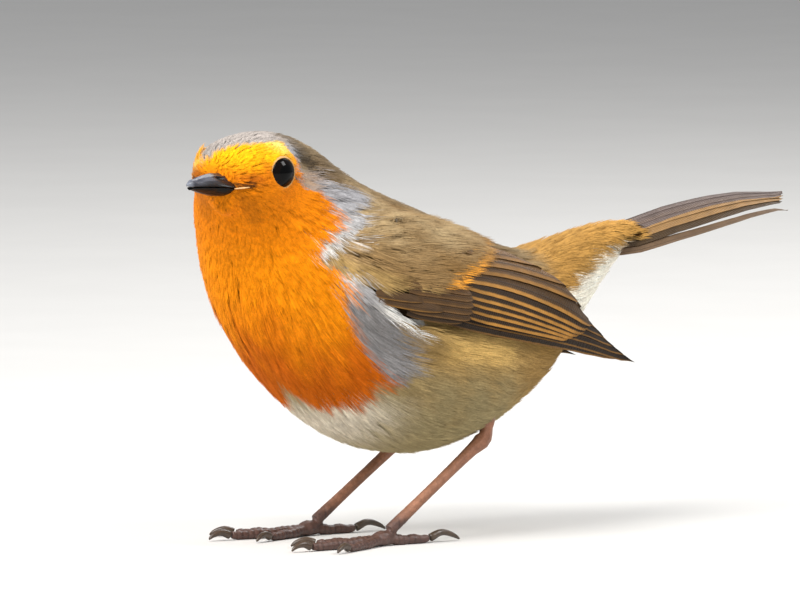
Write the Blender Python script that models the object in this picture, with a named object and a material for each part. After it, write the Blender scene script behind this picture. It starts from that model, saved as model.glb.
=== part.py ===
"""A European robin at life size, standing with its head turned to its left and its tail cocked.

Row frame: +X runs towards the tail, +Y towards the bird's right side, +Z up, and the soles stand at Z = 0.
All sizes below are in millimetres and become metres when a mesh is made. The body is one lofted form, cut
into head, neck, trunk and rump at thin gaps. The wings lie on its flanks, the legs hang under its belly.
"""

import math

import bmesh
import bpy
import numpy as np
from mathutils import Euler, Matrix, Vector
from mathutils.bvhtree import BVHTree

MM = 0.001
GAP = 0.3  # clear space between two nodes that meet

# The body's sections, from the tip of the tail coverts to the feathers round the bill. Each one runs from a
# point on the back (x, z) to a point on the underside (x, z), and has a half width.
BODY_SECTIONS = (
    ((51.0, 50.6), (48.5, 45.0), 3.8),
    ((45.0, 49.9), (42.5, 39.0), 6.2),
    ((37.0, 48.2), (36.0, 32.0), 9.6),
    ((29.5, 46.6), (30.2, 25.2), 13.0),
    ((22.0, 48.4), (23.2, 20.0), 16.0),
    ((14.0, 51.6), (15.4, 15.9), 18.2),
    ((6.0, 54.9), (6.2, 13.7), 19.4),
    ((-2.0, 58.2), (-3.8, 15.4), 19.6),
    ((-7.6, 61.0), (-13.0, 21.0), 18.8),
    ((-11.2, 63.8), (-20.6, 28.2), 17.0),
    ((-14.0, 65.9), (-26.0, 35.6), 14.8),
    ((-16.8, 67.4), (-29.2, 43.0), 12.6),
    ((-20.2, 68.2), (-31.2, 49.0), 10.6),
    ((-24.6, 68.3), (-33.2, 52.6), 9.3),
    ((-30.0, 67.9), (-35.2, 54.8), 8.1),
    ((-34.8, 66.5), (-36.8, 56.0), 6.9),
    ((-37.6, 64.7), (-38.0, 56.7), 5.3),
    ((-38.9, 63.1), (-38.9, 57.2), 3.7),
)
RUMP_ENDS, TRUNK_ENDS, NECK_ENDS = 3.0, 9.1, 11.3  # places along the sections where the nodes part
SECTION_SPACING = 4.6  # how far apart the sections stand where the body parts, on its narrow side
SECTION_POINTS = 26
SECTION_POWER = 2.25  # 2 is an ellipse, more is boxier
BELLY_FULLNESS = 0.07  # how much wider a section is below its middle than above

# The head turns about an upright axis through the neck, then nods and leans.
NECK_PIVOT = (-18.0, 0.0, 56.0)
HEAD_TURN, HEAD_NOD, HEAD_LEAN = math.radians(25), math.radians(3), math.radians(4)
TURN_STARTS, TURN_ENDS = 10.0, 14.0  # along the sections

EYE_PLACE = (-31.3, 62.8)  # x and z of the eye's middle before the head turns
EYE_RADIUS, EYE_SHOWS = 3.5, 2.35  # of the ball, and of the round part outside the head

# Bill sections: x, top of the upper half, line where the halves meet, bottom of the lower half, half width.
BILL_SECTIONS = (
    (-34.4, 62.3, 59.0, 57.2, 2.9),
    (-37.5, 62.15, 59.2, 57.3, 2.6),
    (-40.2, 61.85, 59.35, 57.5, 2.25),
    (-43.0, 61.5, 59.4, 57.95, 1.75),
    (-45.6, 61.0, 59.4, 58.4, 1.2),
    (-47.6, 60.4, 59.3, 58.85, 0.7),
)
BILL_TIP = (-48.7, 59.7)
BILL_POINTS = 12

# The folded wing: its lower and upper edge as seen from the side (x, z), from the bend to the tip, then how
# far out it lies where it is clear of the body, how free it is of the body, and its thickness.
WING_SECTIONS = (
    ((-18.5, 42.6), (-18.0, 45.4), 17.5, 0.0, 1.0),
    ((-14.5, 38.8), (-14.0, 50.5), 19.5, 0.0, 2.0),
    ((-8.0, 36.4), (-6.5, 53.6), 20.5, 0.0, 2.4),
    ((0.0, 34.2), (2.5, 53.2), 21.0, 0.0, 2.3),
    ((9.0, 32.4), (11.5, 50.6), 20.2, 0.0, 2.0),
    ((18.0, 30.7), (20.0, 47.4), 18.6, 0.15, 1.7),
    ((26.5, 29.0), (27.5, 43.4), 16.2, 0.5, 1.4),
    ((34.0, 28.2), (34.0, 37.0), 13.2, 0.9, 1.2),
    ((41.0, 27.4), (40.5, 31.6), 10.6, 1.0, 1.0),
    ((47.2, 26.2), (47.0, 27.2), 8.2, 1.0, 0.8),
)
WING_ALONG, WING_ACROSS = 26, 7
COVERTS_END = 4.45  # along the wing's sections, where the coverts give way to the flight feathers
SECONDARIES_END = 7.4
PRIMARIES_SHOW = 0.24  # the lower share of the wing's width that the primaries take behind the coverts

# The tail: x, height of its ridge, half width, drop from ridge to edge.
TAIL_SECTIONS = (
    (51.3, 50.4, 3.6, 4.2),
    (59.0, 52.3, 4.9, 5.0),
    (67.0, 53.5, 5.5, 4.6),
    (73.5, 53.9, 5.6, 3.6),
    (78.4, 53.7, 5.2, 2.5),
    (80.98, 53.5, 4.3, 2.1),
)
TAIL_THICKNESS = 1.0
TAIL_STEPS = 6  # feathers to a side, each a step in the tail's roof

ANKLE, FOOT = (15.2, 10.2, 16.4), (-5.4, 10.6, 1.22)  # left and right legs mirror each other
FOOT_RADIUS, FOOT_CLEAR = 1.45, 0.7
LEG_TOP = (1.3, -0.3, 5.4)  # from the ankle's middle to a place inside the belly
LEG_RINGS = (2.8, 9.0, 17.0)  # distances below the ankle
LEG_RADII = (1.8, 1.35, 1.45, 1.08, 0.92, 0.92, 1.05)  # from the belly to the foot
TUBE_RESOLUTION = 2

# Toes: name, direction from straight ahead in degrees (outward is positive), length, radius.
TOES = (
    ("inner", -22.0, 10.8, 0.92),
    ("middle", 4.0, 14.4, 0.98),
    ("outer", 29.0, 11.8, 0.88),
    ("hind", 180.0, 9.4, 0.95),
)
TOE_BENDS = ((0.25, 0.3), (0.45, 0.0), (0.64, 0.14), (0.82, 0.0), (1.0, 0.1))  # share of the length, lift
TOE_PADS = 3
FOOT_CLEARANCE = 0.06  # the foot's middle stands just clear of the ground between the toes' pads
SOLE_DEPTH = 0.28  # how much of a toe's round underside is flattened against the ground
FRONT_CLAW, HIND_CLAW = 4.0, 6.0
CLAW_RADIUS = 0.62


def smooth_table(table, place):
    """The row of numbers at a place along a table, on a Catmull-Rom curve through its rows."""
    last = len(table) - 1
    i = min(int(place), last - 1)
    t = place - i
    p0, p1, p2, p3 = (np.asarray(table[min(max(k, 0), last)], float) for k in range(i - 1, i + 3))
    if i == 0:
        p0 = 2 * p1 - p2
    if i == last - 1:
        p3 = 2 * p2 - p1
    return 0.5 * (2 * p1 + (p2 - p0) * t + (2 * p0 - 5 * p1 + 4 * p2 - p3) * t**2 + (3 * p1 - p0 - 3 * p2 + p3) * t**3)


def smoothstep(x):
    x = min(max(x, 0.0), 1.0)
    return x * x * (3 - 2 * x)


def head_matrix(share=1.0):
    """The turn, nod and lean of the head, or a share of them, about the neck."""
    pivot = Matrix.Translation(Vector(NECK_PIVOT))
    turned = Euler((HEAD_LEAN * share, HEAD_NOD * share, HEAD_TURN * share), "XYZ").to_matrix().to_4x4()
    return pivot @ turned @ pivot.inverted()


def moved(points, matrix):
    m = np.array(matrix)
    return np.asarray(points, float) @ m[:3, :3].T + m[:3, 3]


def body_ring(place):
    """One closed section of the body at a place along BODY_SECTIONS."""
    flat = [(*back, *belly, width) for back, belly, width in BODY_SECTIONS]
    back_x, back_z, belly_x, belly_z, width = smooth_table(flat, place)
    angles = np.linspace(0, 2 * math.pi, SECTION_POINTS, endpoint=False)
    side, up = np.cos(angles), np.sin(angles)
    side = np.sign(side) * np.abs(side) ** (2 / SECTION_POWER) * (1 - BELLY_FULLNESS * up)
    up = np.sign(up) * np.abs(up) ** (2 / SECTION_POWER)
    middle = np.array([(back_x + belly_x) / 2, 0, (back_z + belly_z) / 2])
    half = np.array([(back_x - belly_x) / 2, 0, (back_z - belly_z) / 2])
    ring = middle + np.outer(up, half) + np.outer(side * width, [0, 1, 0])
    return moved(ring, head_matrix(smoothstep((place - TURN_STARTS) / (TURN_ENDS - TURN_STARTS))))


def finished(name, shaped, material):
    """An object from a bmesh, with its faces turned outwards and its shading smooth but for sharp edges."""
    mesh = bpy.data.meshes.new(name)
    bmesh.ops.recalc_face_normals(shaped, faces=shaped.faces)
    shaped.to_mesh(mesh)
    shaped.free()
    mesh.shade_smooth()
    mesh.set_sharp_from_angle(angle=math.radians(40))
    if material:
        mesh.materials.append(material)
    return bpy.data.objects.new(name, mesh)


def make_object(name, points, faces, material):
    """A closed object from points in millimetres and the faces between them."""
    shaped = bmesh.new()
    corners = [shaped.verts.new(Vector(p) * MM) for p in points]
    for face in faces:
        shaped.faces.new([corners[i] for i in face])
    return finished(name, shaped, material)


def lofted(name, rings, material):
    """A closed loft through rings of equal count, with a fan over each end."""
    count = len(rings[0])
    points = list(np.concatenate(rings))
    faces = []
    for r in range(len(rings) - 1):
        for i in range(count):
            j = (i + 1) % count
            faces.append((r * count + i, r * count + j, (r + 1) * count + j, (r + 1) * count + i))
    for first, ring in ((0, rings[0]), ((len(rings) - 1) * count, rings[-1])):
        points.append(np.mean(ring, axis=0))
        hub = len(points) - 1
        faces += [(first + i, first + (i + 1) % count, hub) for i in range(count)]
    return make_object(name, points, faces, material)


def body_part(name, start, end, material):
    """The body between two places along its sections, short of its neighbours by half a gap at each cut."""
    last = len(BODY_SECTIONS) - 1
    cut = GAP / 2 / SECTION_SPACING
    start, end = start + cut * (start > 0), end - cut * (end < last)
    count = max(6, round((end - start) * 2.0))
    return lofted(name, [body_ring(p) for p in np.linspace(start, end, count + 1)], material)


def combine(target, other, operation="DIFFERENCE"):
    """Cuts the other object out of the target, or joins it to the target, for good."""
    for made in (target, other):
        bpy.context.scene.collection.objects.link(made)
    modifier = target.modifiers.new("combine", "BOOLEAN")
    modifier.operation = operation
    modifier.object = other
    bpy.context.view_layer.update()
    shown = target.evaluated_get(bpy.context.evaluated_depsgraph_get())
    finished = bpy.data.meshes.new_from_object(shown)
    target.modifiers.remove(modifier)
    target.data = finished
    bpy.context.scene.collection.objects.unlink(target)
    bpy.data.objects.remove(other)


def ball(name, centre, radius, material=None, segments=18, rings=10):
    """A sphere whose pole looks along Y."""
    shaped = bmesh.new()
    turned = Matrix.Translation(Vector(centre) * MM) @ Matrix.Rotation(math.pi / 2, 4, "X")
    bmesh.ops.create_uvsphere(shaped, u_segments=segments, v_segments=rings, radius=radius * MM, matrix=turned)
    mesh = bpy.data.meshes.new(name)
    shaped.to_mesh(mesh)
    shaped.free()
    mesh.shade_smooth()
    if material:
        mesh.materials.append(material)
    return bpy.data.objects.new(name, mesh)


def surface_tree(*parts):
    """A search tree over the outer surface of some parts, in millimetres."""
    points, faces = [], []
    for part in parts:
        base = len(points)
        points += [v.co / MM for v in part.data.vertices]
        faces += [[base + i for i in p.vertices] for p in part.data.polygons]
    return BVHTree.FromPolygons(points, faces)


def eye_centre(tree, side):
    """The ball's centre, so deep behind the head's surface that only EYE_SHOWS of it is outside."""
    turned = head_matrix()
    start = turned @ Vector((EYE_PLACE[0], side * 40, EYE_PLACE[1]))
    inward = (turned.to_3x3() @ Vector((0, -side, 0))).normalized()
    hit, normal, _, _ = tree.ray_cast(start, inward)
    depth = math.sqrt(EYE_RADIUS**2 - EYE_SHOWS**2)
    return hit - normal * depth


def bill_ring(row, top, bottom):
    """A ring of the bill between two of its lines, flat where the halves meet."""
    x, _, seam, _, width = row
    angles = np.linspace(0, 2 * math.pi, BILL_POINTS, endpoint=False)
    up = np.sin(angles)
    height = np.where(up >= 0, seam + up * (top - seam), seam + up * (seam - bottom))
    side = np.cos(angles) * width
    return np.column_stack([np.full(BILL_POINTS, x), side, height])


def bill_half(name, upper, material):
    """The upper or the lower half of the bill, up to its tip."""
    rings = []
    for place in np.linspace(0, len(BILL_SECTIONS) - 1, 11):
        row = smooth_table(BILL_SECTIONS, place)
        seam = row[2] + (GAP / 2 if upper else -GAP / 2) * 0.7
        ring = bill_ring(row, row[1], row[3])
        ring[:, 2] = np.maximum(ring[:, 2], seam) if upper else np.minimum(ring[:, 2], seam)
        ring[:, 1] *= 1.0 if upper else 0.93
        rings.append(ring)
    tip_x, tip_z = BILL_TIP if upper else (BILL_SECTIONS[-1][0] - 0.25, BILL_SECTIONS[-1][3] - 0.02)
    rings.append(rings[-1] * [0, 0.3, 0.3] + np.array([tip_x, 0, tip_z - rings[-1][:, 2].mean() * 0.3]))
    return lofted(name, [moved(ring, head_matrix()) for ring in rings], material)


def bill_socket():
    """The room that the bill's root takes in the head."""
    rings = []
    for place in np.linspace(-0.1, 2.6, 6):
        row = smooth_table(BILL_SECTIONS, place)
        ring = bill_ring(row, row[1] + GAP, row[3] - GAP)
        ring[:, 1] *= (row[4] + GAP) / row[4]
        rings.append(moved(ring, head_matrix()))
    return lofted("bill_socket", rings, None)


def wing_point(tree, place, across, side):
    """The inner and outer point of a folded wing at a place along it and a share of its width."""
    flat = [(*low, *high, out, free, thick) for low, high, out, free, thick in WING_SECTIONS]
    low_x, low_z, high_x, high_z, out, free, thick = smooth_table(flat, place)
    x, z = low_x + (high_x - low_x) * across, low_z + (high_z - low_z) * across
    clear = Vector((x, side * (out - 4.5 * max(across - 0.5, 0) ** 2 * (1 + free)), z))
    outward = Vector((0.12 * free, side, 0.25 + 0.35 * across)).normalized()
    hit, normal, _, _ = tree.ray_cast(Vector((x, side * 60, z)), Vector((0, -side, 0)))
    free = smoothstep(free) if hit else 1.0
    if hit:
        lain = hit + normal * (GAP + 0.1)
        inner = lain.lerp(clear, free)
        if abs(inner.y) < abs(lain.y):
            inner.y = lain.y
        outward = normal.lerp(outward, free).normalized()
    else:
        inner = clear
    edge = 0.35 + 0.65 * math.sqrt(max(math.sin(math.pi * (0.04 + 0.92 * across)), 0.0))
    return inner, inner + outward * max(thick * edge, 0.55)


def wing_part(name, tree, side, start, end, low_edge, high_edge, material):
    """A closed plate of the wing. low_edge and high_edge give its share of the width at each place."""
    count = max(5, round(WING_ALONG * (end - start) / (len(WING_SECTIONS) - 1)))
    inner, outer = [], []
    for place in np.linspace(start, end, count + 1):
        low, high = low_edge(place), high_edge(place)
        for across in np.linspace(low, high, WING_ACROSS):
            a, b = wing_point(tree, place, across, side)
            inner.append(a)
            outer.append(b)
    rows, columns, total = count + 1, WING_ACROSS, len(inner)
    faces = []
    for r in range(rows - 1):
        for c in range(columns - 1):
            q = [r * columns + c, r * columns + c + 1, (r + 1) * columns + c + 1, (r + 1) * columns + c]
            faces += [q, [total + k for k in reversed(q)]]
    rim = [c for c in range(columns)]
    rim += [r * columns + columns - 1 for r in range(1, rows)]
    rim += [(rows - 1) * columns + c for c in range(columns - 2, -1, -1)]
    rim += [r * columns for r in range(rows - 2, 0, -1)]
    for a, b in zip(rim, rim[1:] + rim[:1]):
        faces.append([a, b, total + b, total + a])
    return make_object(name, inner + outer, faces, material)


def primaries_edge(place):
    """The line between the primaries and the secondaries, which climbs to the wing's upper edge near the tip."""
    climb = smoothstep((place - 5.6) / (SECONDARIES_END - 5.6))
    return PRIMARIES_SHOW + (1 - PRIMARIES_SHOW) * climb**1.6


def make_wing(tree, side, word, paint):
    """Coverts, secondaries and primaries of one folded wing."""
    tip = len(WING_SECTIONS) - 1
    seam = 0.022  # as a share of the wing's width
    cut = 0.035  # along the sections
    return [
        wing_part(f"wing_{word}_coverts", tree, side, 0.0, COVERTS_END - cut,
                  lambda p: 0.0, lambda p: 1.0, paint["coverts"]),
        wing_part(f"wing_{word}_secondaries", tree, side, COVERTS_END + cut, SECONDARIES_END - 0.25,
                  lambda p: primaries_edge(p) + seam, lambda p: 1.0, paint["flight"]),
        wing_part(f"wing_{word}_primaries", tree, side, COVERTS_END + cut, tip,
                  lambda p: 0.0, lambda p: primaries_edge(p) - seam * (p < SECONDARIES_END), paint["flight"]),
    ]


def tail_ring(place):
    """A section of the tail: a roof of TAIL_STEPS feathers to a side, each a step lower than the last."""
    x, ridge, half_width, drop = smooth_table(TAIL_SECTIONS, place)
    upper = []
    for i in range(TAIL_STEPS):
        share, after = i / TAIL_STEPS, (i + 1) / TAIL_STEPS
        upper.append((share * half_width, ridge - drop * share**1.25))
        upper.append((after * half_width, ridge - drop * (0.35 * share + 0.65 * after) ** 1.25))
    lower = [(y * 0.97, z - TAIL_THICKNESS) for y, z in upper[::-2]] + [(0.0, ridge - TAIL_THICKNESS)]
    right = upper + lower
    left = [(-y, z) for y, z in right[::-1] if y > 1e-9]
    return np.array([(x, y, z) for y, z in right + left])


def make_tail(material):
    places = np.linspace(0, len(TAIL_SECTIONS) - 1, 10)
    return lofted("tail", [tail_ring(p) for p in places], material)


def tube(name, path, radii, material, floor=None):
    """A round tube whose radius changes along its path. No point of it goes below a floor, where one is given."""
    curve = bpy.data.curves.new(name, "CURVE")
    curve.dimensions = "3D"
    curve.bevel_depth = MM
    curve.bevel_resolution = TUBE_RESOLUTION
    curve.use_fill_caps = True
    spline = curve.splines.new("POLY")
    spline.points.add(len(path) - 1)
    for point, place, radius in zip(spline.points, path, radii):
        point.co = (*(Vector(place) * MM), 1.0)
        point.radius = radius
    drawn = bpy.data.objects.new(name, curve)
    bpy.context.scene.collection.objects.link(drawn)
    bpy.context.view_layer.update()
    mesh = bpy.data.meshes.new_from_object(drawn.evaluated_get(bpy.context.evaluated_depsgraph_get()))
    bpy.data.objects.remove(drawn)
    shaped = bmesh.new()
    shaped.from_mesh(mesh)
    bpy.data.meshes.remove(mesh)
    bmesh.ops.remove_doubles(shaped, verts=shaped.verts, dist=0.01 * MM)
    if floor is not None:
        for corner in shaped.verts:
            corner.co.z = max(corner.co.z, floor * MM)
    return finished(name, shaped, material)


def along_path(path, count):
    """Points and a share from 0 to 1 along a smooth curve through a path."""
    shares = np.linspace(0, 1, count)
    return [(Vector(smooth_table(path, s * (len(path) - 1))), s) for s in shares]


def mirrored(point, side):
    return (point[0], side * point[1], point[2])


def make_leg(side, word, material):
    """The bare leg, from inside the belly's feathers, round the ankle and down to the foot."""
    ankle, foot = Vector(mirrored(ANKLE, side)), Vector(mirrored(FOOT, side))
    top = ankle + Vector(mirrored(LEG_TOP, side))
    ahead = (foot - ankle).normalized()
    end = foot - ahead * (FOOT_RADIUS + FOOT_CLEAR)
    path = [top, top.lerp(ankle, 0.5), ankle, *(ankle + ahead * d for d in LEG_RINGS), end]
    last = len(LEG_RADII) - 1
    route = along_path(path, 17)
    radii = [float(smooth_table([[r] for r in LEG_RADII], s * last)[0]) for _, s in route]
    leg = tube(f"leg_{word}", [p for p, _ in route], radii, material)
    belly = lofted("belly", [body_ring(p) for p in np.linspace(RUMP_ENDS - 1.5, TRUNK_ENDS, 20)], None)
    belly.data.transform(Matrix.Translation((0, 0, -GAP * MM)))
    combine(leg, belly)
    return leg


def toe_direction(degrees, side):
    """Unit vector on the ground. The bird faces -X, and outward is away from the body's middle."""
    angle = math.radians(degrees)
    return Vector((-math.cos(angle), side * math.sin(angle), 0))


def toe_end(side, degrees, length, radius):
    foot = Vector(mirrored(FOOT, side))
    end = foot + toe_direction(degrees, side) * length
    end.z = radius - SOLE_DEPTH + TOE_BENDS[-1][1]
    return end


def make_toe(side, degrees, length, radius, material):
    """One toe, from inside the foot to its end, with flats under its pads."""
    start = Vector(mirrored(FOOT, side))
    end = toe_end(side, degrees, length, radius)
    slim = 0.8 if degrees == 180 else 1.0
    start.z = radius * slim + 0.1 * (1 if slim == 1 else -1)
    path = [start]
    for share, lift in TOE_BENDS:
        p = start.lerp(end, share)
        p.z = radius - SOLE_DEPTH + lift
        path.append(p)
    route = along_path(path, 12)
    radii = []
    for _, s in route:
        swell = 0.09 * math.cos(2 * math.pi * TOE_PADS * s)
        narrow = slim + (1 - slim) * smoothstep(s * 4)
        radii.append(radius * (1.0 - 0.22 * s + swell) * narrow * (0.72 if s == 1 else 1))
    return tube("toe", [p for p, _ in route], radii, material, floor=0.0)


def make_claw(name, side, degrees, length, radius, material):
    """A curved claw that starts a gap beyond its toe and comes down on the ground."""
    ahead = toe_direction(degrees, side)
    claw, bow = (HIND_CLAW, 0.9) if degrees == 180 else (FRONT_CLAW, 0.55)
    first = toe_end(side, degrees, length, radius) + ahead * GAP
    path = [first, first + ahead * claw * 0.4 + Vector((0, 0, bow)),
            first + ahead * claw * 0.8 + Vector((0, 0, bow * 0.25)), first + ahead * claw]
    path[-1].z = 0.3
    route = along_path(path, 8)
    radii = [CLAW_RADIUS * (1 - s) ** 0.75 + 0.14 for _, s in route]
    return tube(name, [p for p, _ in route], radii, material, floor=0.0)


def make_foot(side, word, paint):
    """The foot with its four toes as one solid, and the claws."""
    centre = Vector(mirrored(FOOT, side))
    path = [centre + Vector((x, 0, 0)) for x in (1.4, 1.0, 0.0, -1.0, -1.4)]
    radii = [FOOT_RADIUS * r for r in (0.45, 0.8, 1.0, 0.8, 0.45)]
    foot = tube(f"foot_{word}", path, radii, paint["toe"], floor=FOOT_CLEARANCE)
    claws = []
    for toe, degrees, length, radius in TOES:
        combine(foot, make_toe(side, degrees, length, radius, paint["toe"]), "UNION")
        claws.append(make_claw(f"claw_{word}_{toe}", side, degrees, length, radius, paint["claw"]))
    return [foot, *claws]


def painted(name, colour, roughness=0.8, metallic=0.0):
    material = bpy.data.materials.new(name)
    material.use_nodes = True
    shader = material.node_tree.nodes["Principled BSDF"]
    shader.inputs["Base Color"].default_value = (*colour, 1.0)
    shader.inputs["Roughness"].default_value = roughness
    shader.inputs["Metallic"].default_value = metallic
    return material


def make_paints():
    return {
        "face": painted("orange_feathers", (0.80, 0.27, 0.02)),
        "back": painted("olive_feathers", (0.30, 0.20, 0.09)),
        "belly": painted("pale_feathers", (0.45, 0.36, 0.20)),
        "coverts": painted("olive_wing_feathers", (0.24, 0.16, 0.07)),
        "flight": painted("brown_flight_feathers", (0.16, 0.10, 0.045), 0.6),
        "bill": painted("dark_bill", (0.03, 0.028, 0.03), 0.35),
        "eye": painted("black_eye", (0.006, 0.004, 0.003), 0.05),
        "leg": painted("brown_leg_skin", (0.40, 0.20, 0.12), 0.5),
        "toe": painted("dark_toe_skin", (0.10, 0.06, 0.05), 0.5),
        "claw": painted("dark_claw", (0.05, 0.035, 0.03), 0.3),
    }


def centred_on_floor(parts):
    """Moves every mesh so that the middle of the whole bird's box stands over the origin."""
    corners = np.array([v.co for part in parts for v in part.data.vertices])
    middle = (corners.min(axis=0) + corners.max(axis=0)) / 2
    for part in parts:
        part.data.transform(Matrix.Translation((-middle[0], -middle[1], -corners[:, 2].min())))


def main():
    for old in list(bpy.data.objects):
        bpy.data.objects.remove(old)
    paint = make_paints()
    last = len(BODY_SECTIONS) - 1
    rump = body_part("rump", 0, RUMP_ENDS, paint["back"])
    trunk = body_part("trunk", RUMP_ENDS, TRUNK_ENDS, paint["belly"])
    neck = body_part("neck", TRUNK_ENDS, NECK_ENDS, paint["face"])
    head = body_part("head", NECK_ENDS, last, paint["face"])
    parts = [rump, trunk, neck, head]

    head_tree = surface_tree(head)
    for side, word in ((-1, "left"), (1, "right")):
        centre = eye_centre(head_tree, side)
        combine(head, ball("eye_socket", centre, EYE_RADIUS + GAP))
        parts.append(ball(f"eye_{word}", centre, EYE_RADIUS, paint["eye"]))
    combine(head, bill_socket())
    parts.append(bill_half("bill_upper", True, paint["bill"]))
    parts.append(bill_half("bill_lower", False, paint["bill"]))

    whole = lofted("whole_body", [body_ring(p) for p in np.linspace(0, NECK_ENDS + 1, 60)], None)
    flanks = surface_tree(whole)
    bpy.data.objects.remove(whole)
    for side, word in ((-1, "left"), (1, "right")):
        parts += make_wing(flanks, side, word, paint)
    parts.append(make_tail(paint["flight"]))

    for side, word in ((-1, "left"), (1, "right")):
        parts.append(make_leg(side, word, paint["leg"]))
        parts += make_foot(side, word, paint)

    centred_on_floor(parts)
    robin = bpy.data.collections.new("robin")
    bpy.context.scene.collection.children.link(robin)
    for part in parts:
        robin.objects.link(part)


main()
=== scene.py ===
"""The looks of a still, life-size robin round its CAD solids: skin, coat of feathers, wings, tail, eyes,
bill, legs and a plain studio. Lengths inside the functions are millimetres in the frame of the solids: the
bird looks along -X, its left side is -Y, and it stands on Z = 0. Marks on the plumage are set out for a head
that looks straight ahead, as smooth steps between two heights or between two places along the bird."""

import functools
import math

import bmesh
import bpy
import numpy as np
from bpy.props import FloatProperty, FloatVectorProperty, IntProperty, PointerProperty
from mathutils import Matrix, Vector
from mathutils.bvhtree import BVHTree


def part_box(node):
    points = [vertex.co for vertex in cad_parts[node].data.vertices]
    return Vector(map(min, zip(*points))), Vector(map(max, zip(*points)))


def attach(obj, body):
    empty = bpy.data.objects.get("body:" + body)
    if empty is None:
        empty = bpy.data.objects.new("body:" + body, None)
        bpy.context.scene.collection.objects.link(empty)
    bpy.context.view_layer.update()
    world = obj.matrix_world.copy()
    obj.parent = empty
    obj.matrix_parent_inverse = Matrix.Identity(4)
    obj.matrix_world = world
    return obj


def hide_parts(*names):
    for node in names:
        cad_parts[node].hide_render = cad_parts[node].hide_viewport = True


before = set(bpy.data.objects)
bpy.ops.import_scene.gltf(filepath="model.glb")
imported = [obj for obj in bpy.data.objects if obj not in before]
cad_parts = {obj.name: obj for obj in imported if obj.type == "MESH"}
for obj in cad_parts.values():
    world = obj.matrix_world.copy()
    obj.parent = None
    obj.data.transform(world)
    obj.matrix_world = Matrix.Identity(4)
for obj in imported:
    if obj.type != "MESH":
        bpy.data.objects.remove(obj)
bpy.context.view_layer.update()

bl_info = {
    "name": "Robin",
    "version": (1, 0, 0),
    "blender": (4, 5, 0),
    "location": "View3D > Sidebar > Robin",
    "description": "Skin, feathers, eyes, bill and legs of a life-size robin",
    "category": "Object",
}

MM = 0.001
ROOT = "root"
FLESH = ("head", "neck", "trunk", "rump")
SIDES = {"left": -1.0, "right": 1.0}
COAT_MAP = "OFBake"
PATCH = 0.003  # how much of the coat's map one feather takes
TRIED_ROOTS = 90000  # random places on a surface, before those too close together are left out
FACE_BARBS, THIN_BARB = 9, 0.09  # barbs in a feather of the face and how thick the finest are
COAT_END = 37.0  # no body feather reaches further back over the tail
BESIDE = 8  # further out than this a place is on the bird's side

# How the head is turned on the body: the same places and angles as its solids.
NECK_PIVOT = np.array((-35.69, 0.0, 56.0))
HEAD_ANGLES = ((0, 4.0), (1, 3.0), (2, 25.0))  # lean, nod and turn, in the order they are applied
NECK_START, NECK_WAY = -17.69, (-0.93, 0.368)  # a place behind the neck and the way it runs, as (x, z)
NECK_TURNS = (37.3, 52.8)  # where along the neck the turn starts and ends
EYE_X, EYE_Z = -48.99, 62.8  # before the head turns
EYE_BALL, EYE_SHOWS, EYE_SUNK = 3.5, 2.45, 0.2  # radius of the ball, radius in view, depth
EYE_RIM = 3.3  # how far round the eye the head's surface is felt for its slope
EYE_SIDEWAYS = 0.42  # how far the eyes look straight to the side rather than square to the surface
EYE_DOWN = 0.17  # and how far down
EYE_SHIFT = np.array((0.5, 0.0, -0.15))  # from the middle of the eye's solid, before the head turns
BILL_BASE = np.array((-55.2, 0.0, 59.9))  # before the head turns
BROW_TUFT = np.array((-53.4, 6.9, 62.0))  # the raised feathers over the far eye, before the head turns
TUFT_REACH = 1.6

# The edge of the orange, as seen from the side: height, and the place behind which it stops.
ORANGE_EDGE = np.array(
    (
        (22.2, -29.5), (24.1, -25.7), (26.9, -24.2), (29.9, -27.3), (33.9, -31.8), (38.9, -33.5),
        (41.0, -34.2), (43.9, -34.6), (46.0, -36.1), (47.7, -38.0), (49.6, -37.4), (51.5, -34.7),
        (53.5, -33.1), (55.1, -33.1), (56.8, -33.5), (58.4, -34.9), (59.5, -38.8), (60.3, -41.0),
        (61.8, -40.4), (64.3, -41.8), (65.6, -44.0), (66.9, -42.4),
    )
)
# The grey behind the orange: height and width of the band.
GREY_BAND = np.array(
    (
        (26.0, 0.0), (27.0, 1.5), (29.0, 6.0), (31.0, 8.0), (34.0, 9.0), (38.0, 7.5), (41.0, 5.0),
        (43.2, 4.0), (44.8, 0.6), (46.2, 0.0), (47.2, 0.3), (49.0, 3.2), (51.0, 3.8), (54.0, 4.0),
        (56.0, 7.0), (59.0, 8.5), (62.0, 7.0), (64.0, 5.0), (67.0, 4.0),
    )
)

# Where the folded wing shows: the edges of the soft feathers over it and of the flank's under it, as (x, z).
WING_TOP = np.array(
    (
        (-32.6, 42.6), (-31.0, 43.0), (-27.8, 42.9), (-23.0, 42.8), (-18.9, 42.2), (-15.7, 42.3),
        (-13.9, 43.0), (-10.5, 44.4), (-5.7, 46.2), (-2.4, 47.9), (1.0, 52.0),
    )
)
WING_LOW = np.array(
    (
        (-32.6, 42.5), (-31.0, 41.4), (-27.7, 39.4), (-23.9, 37.2), (-19.0, 36.3), (-13.9, 35.6),
        (-8.5, 34.6), (-2.9, 33.6), (3.2, 32.5), (9.6, 31.4), (16.4, 29.9), (30.0, 26.0),
    )
)
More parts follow.
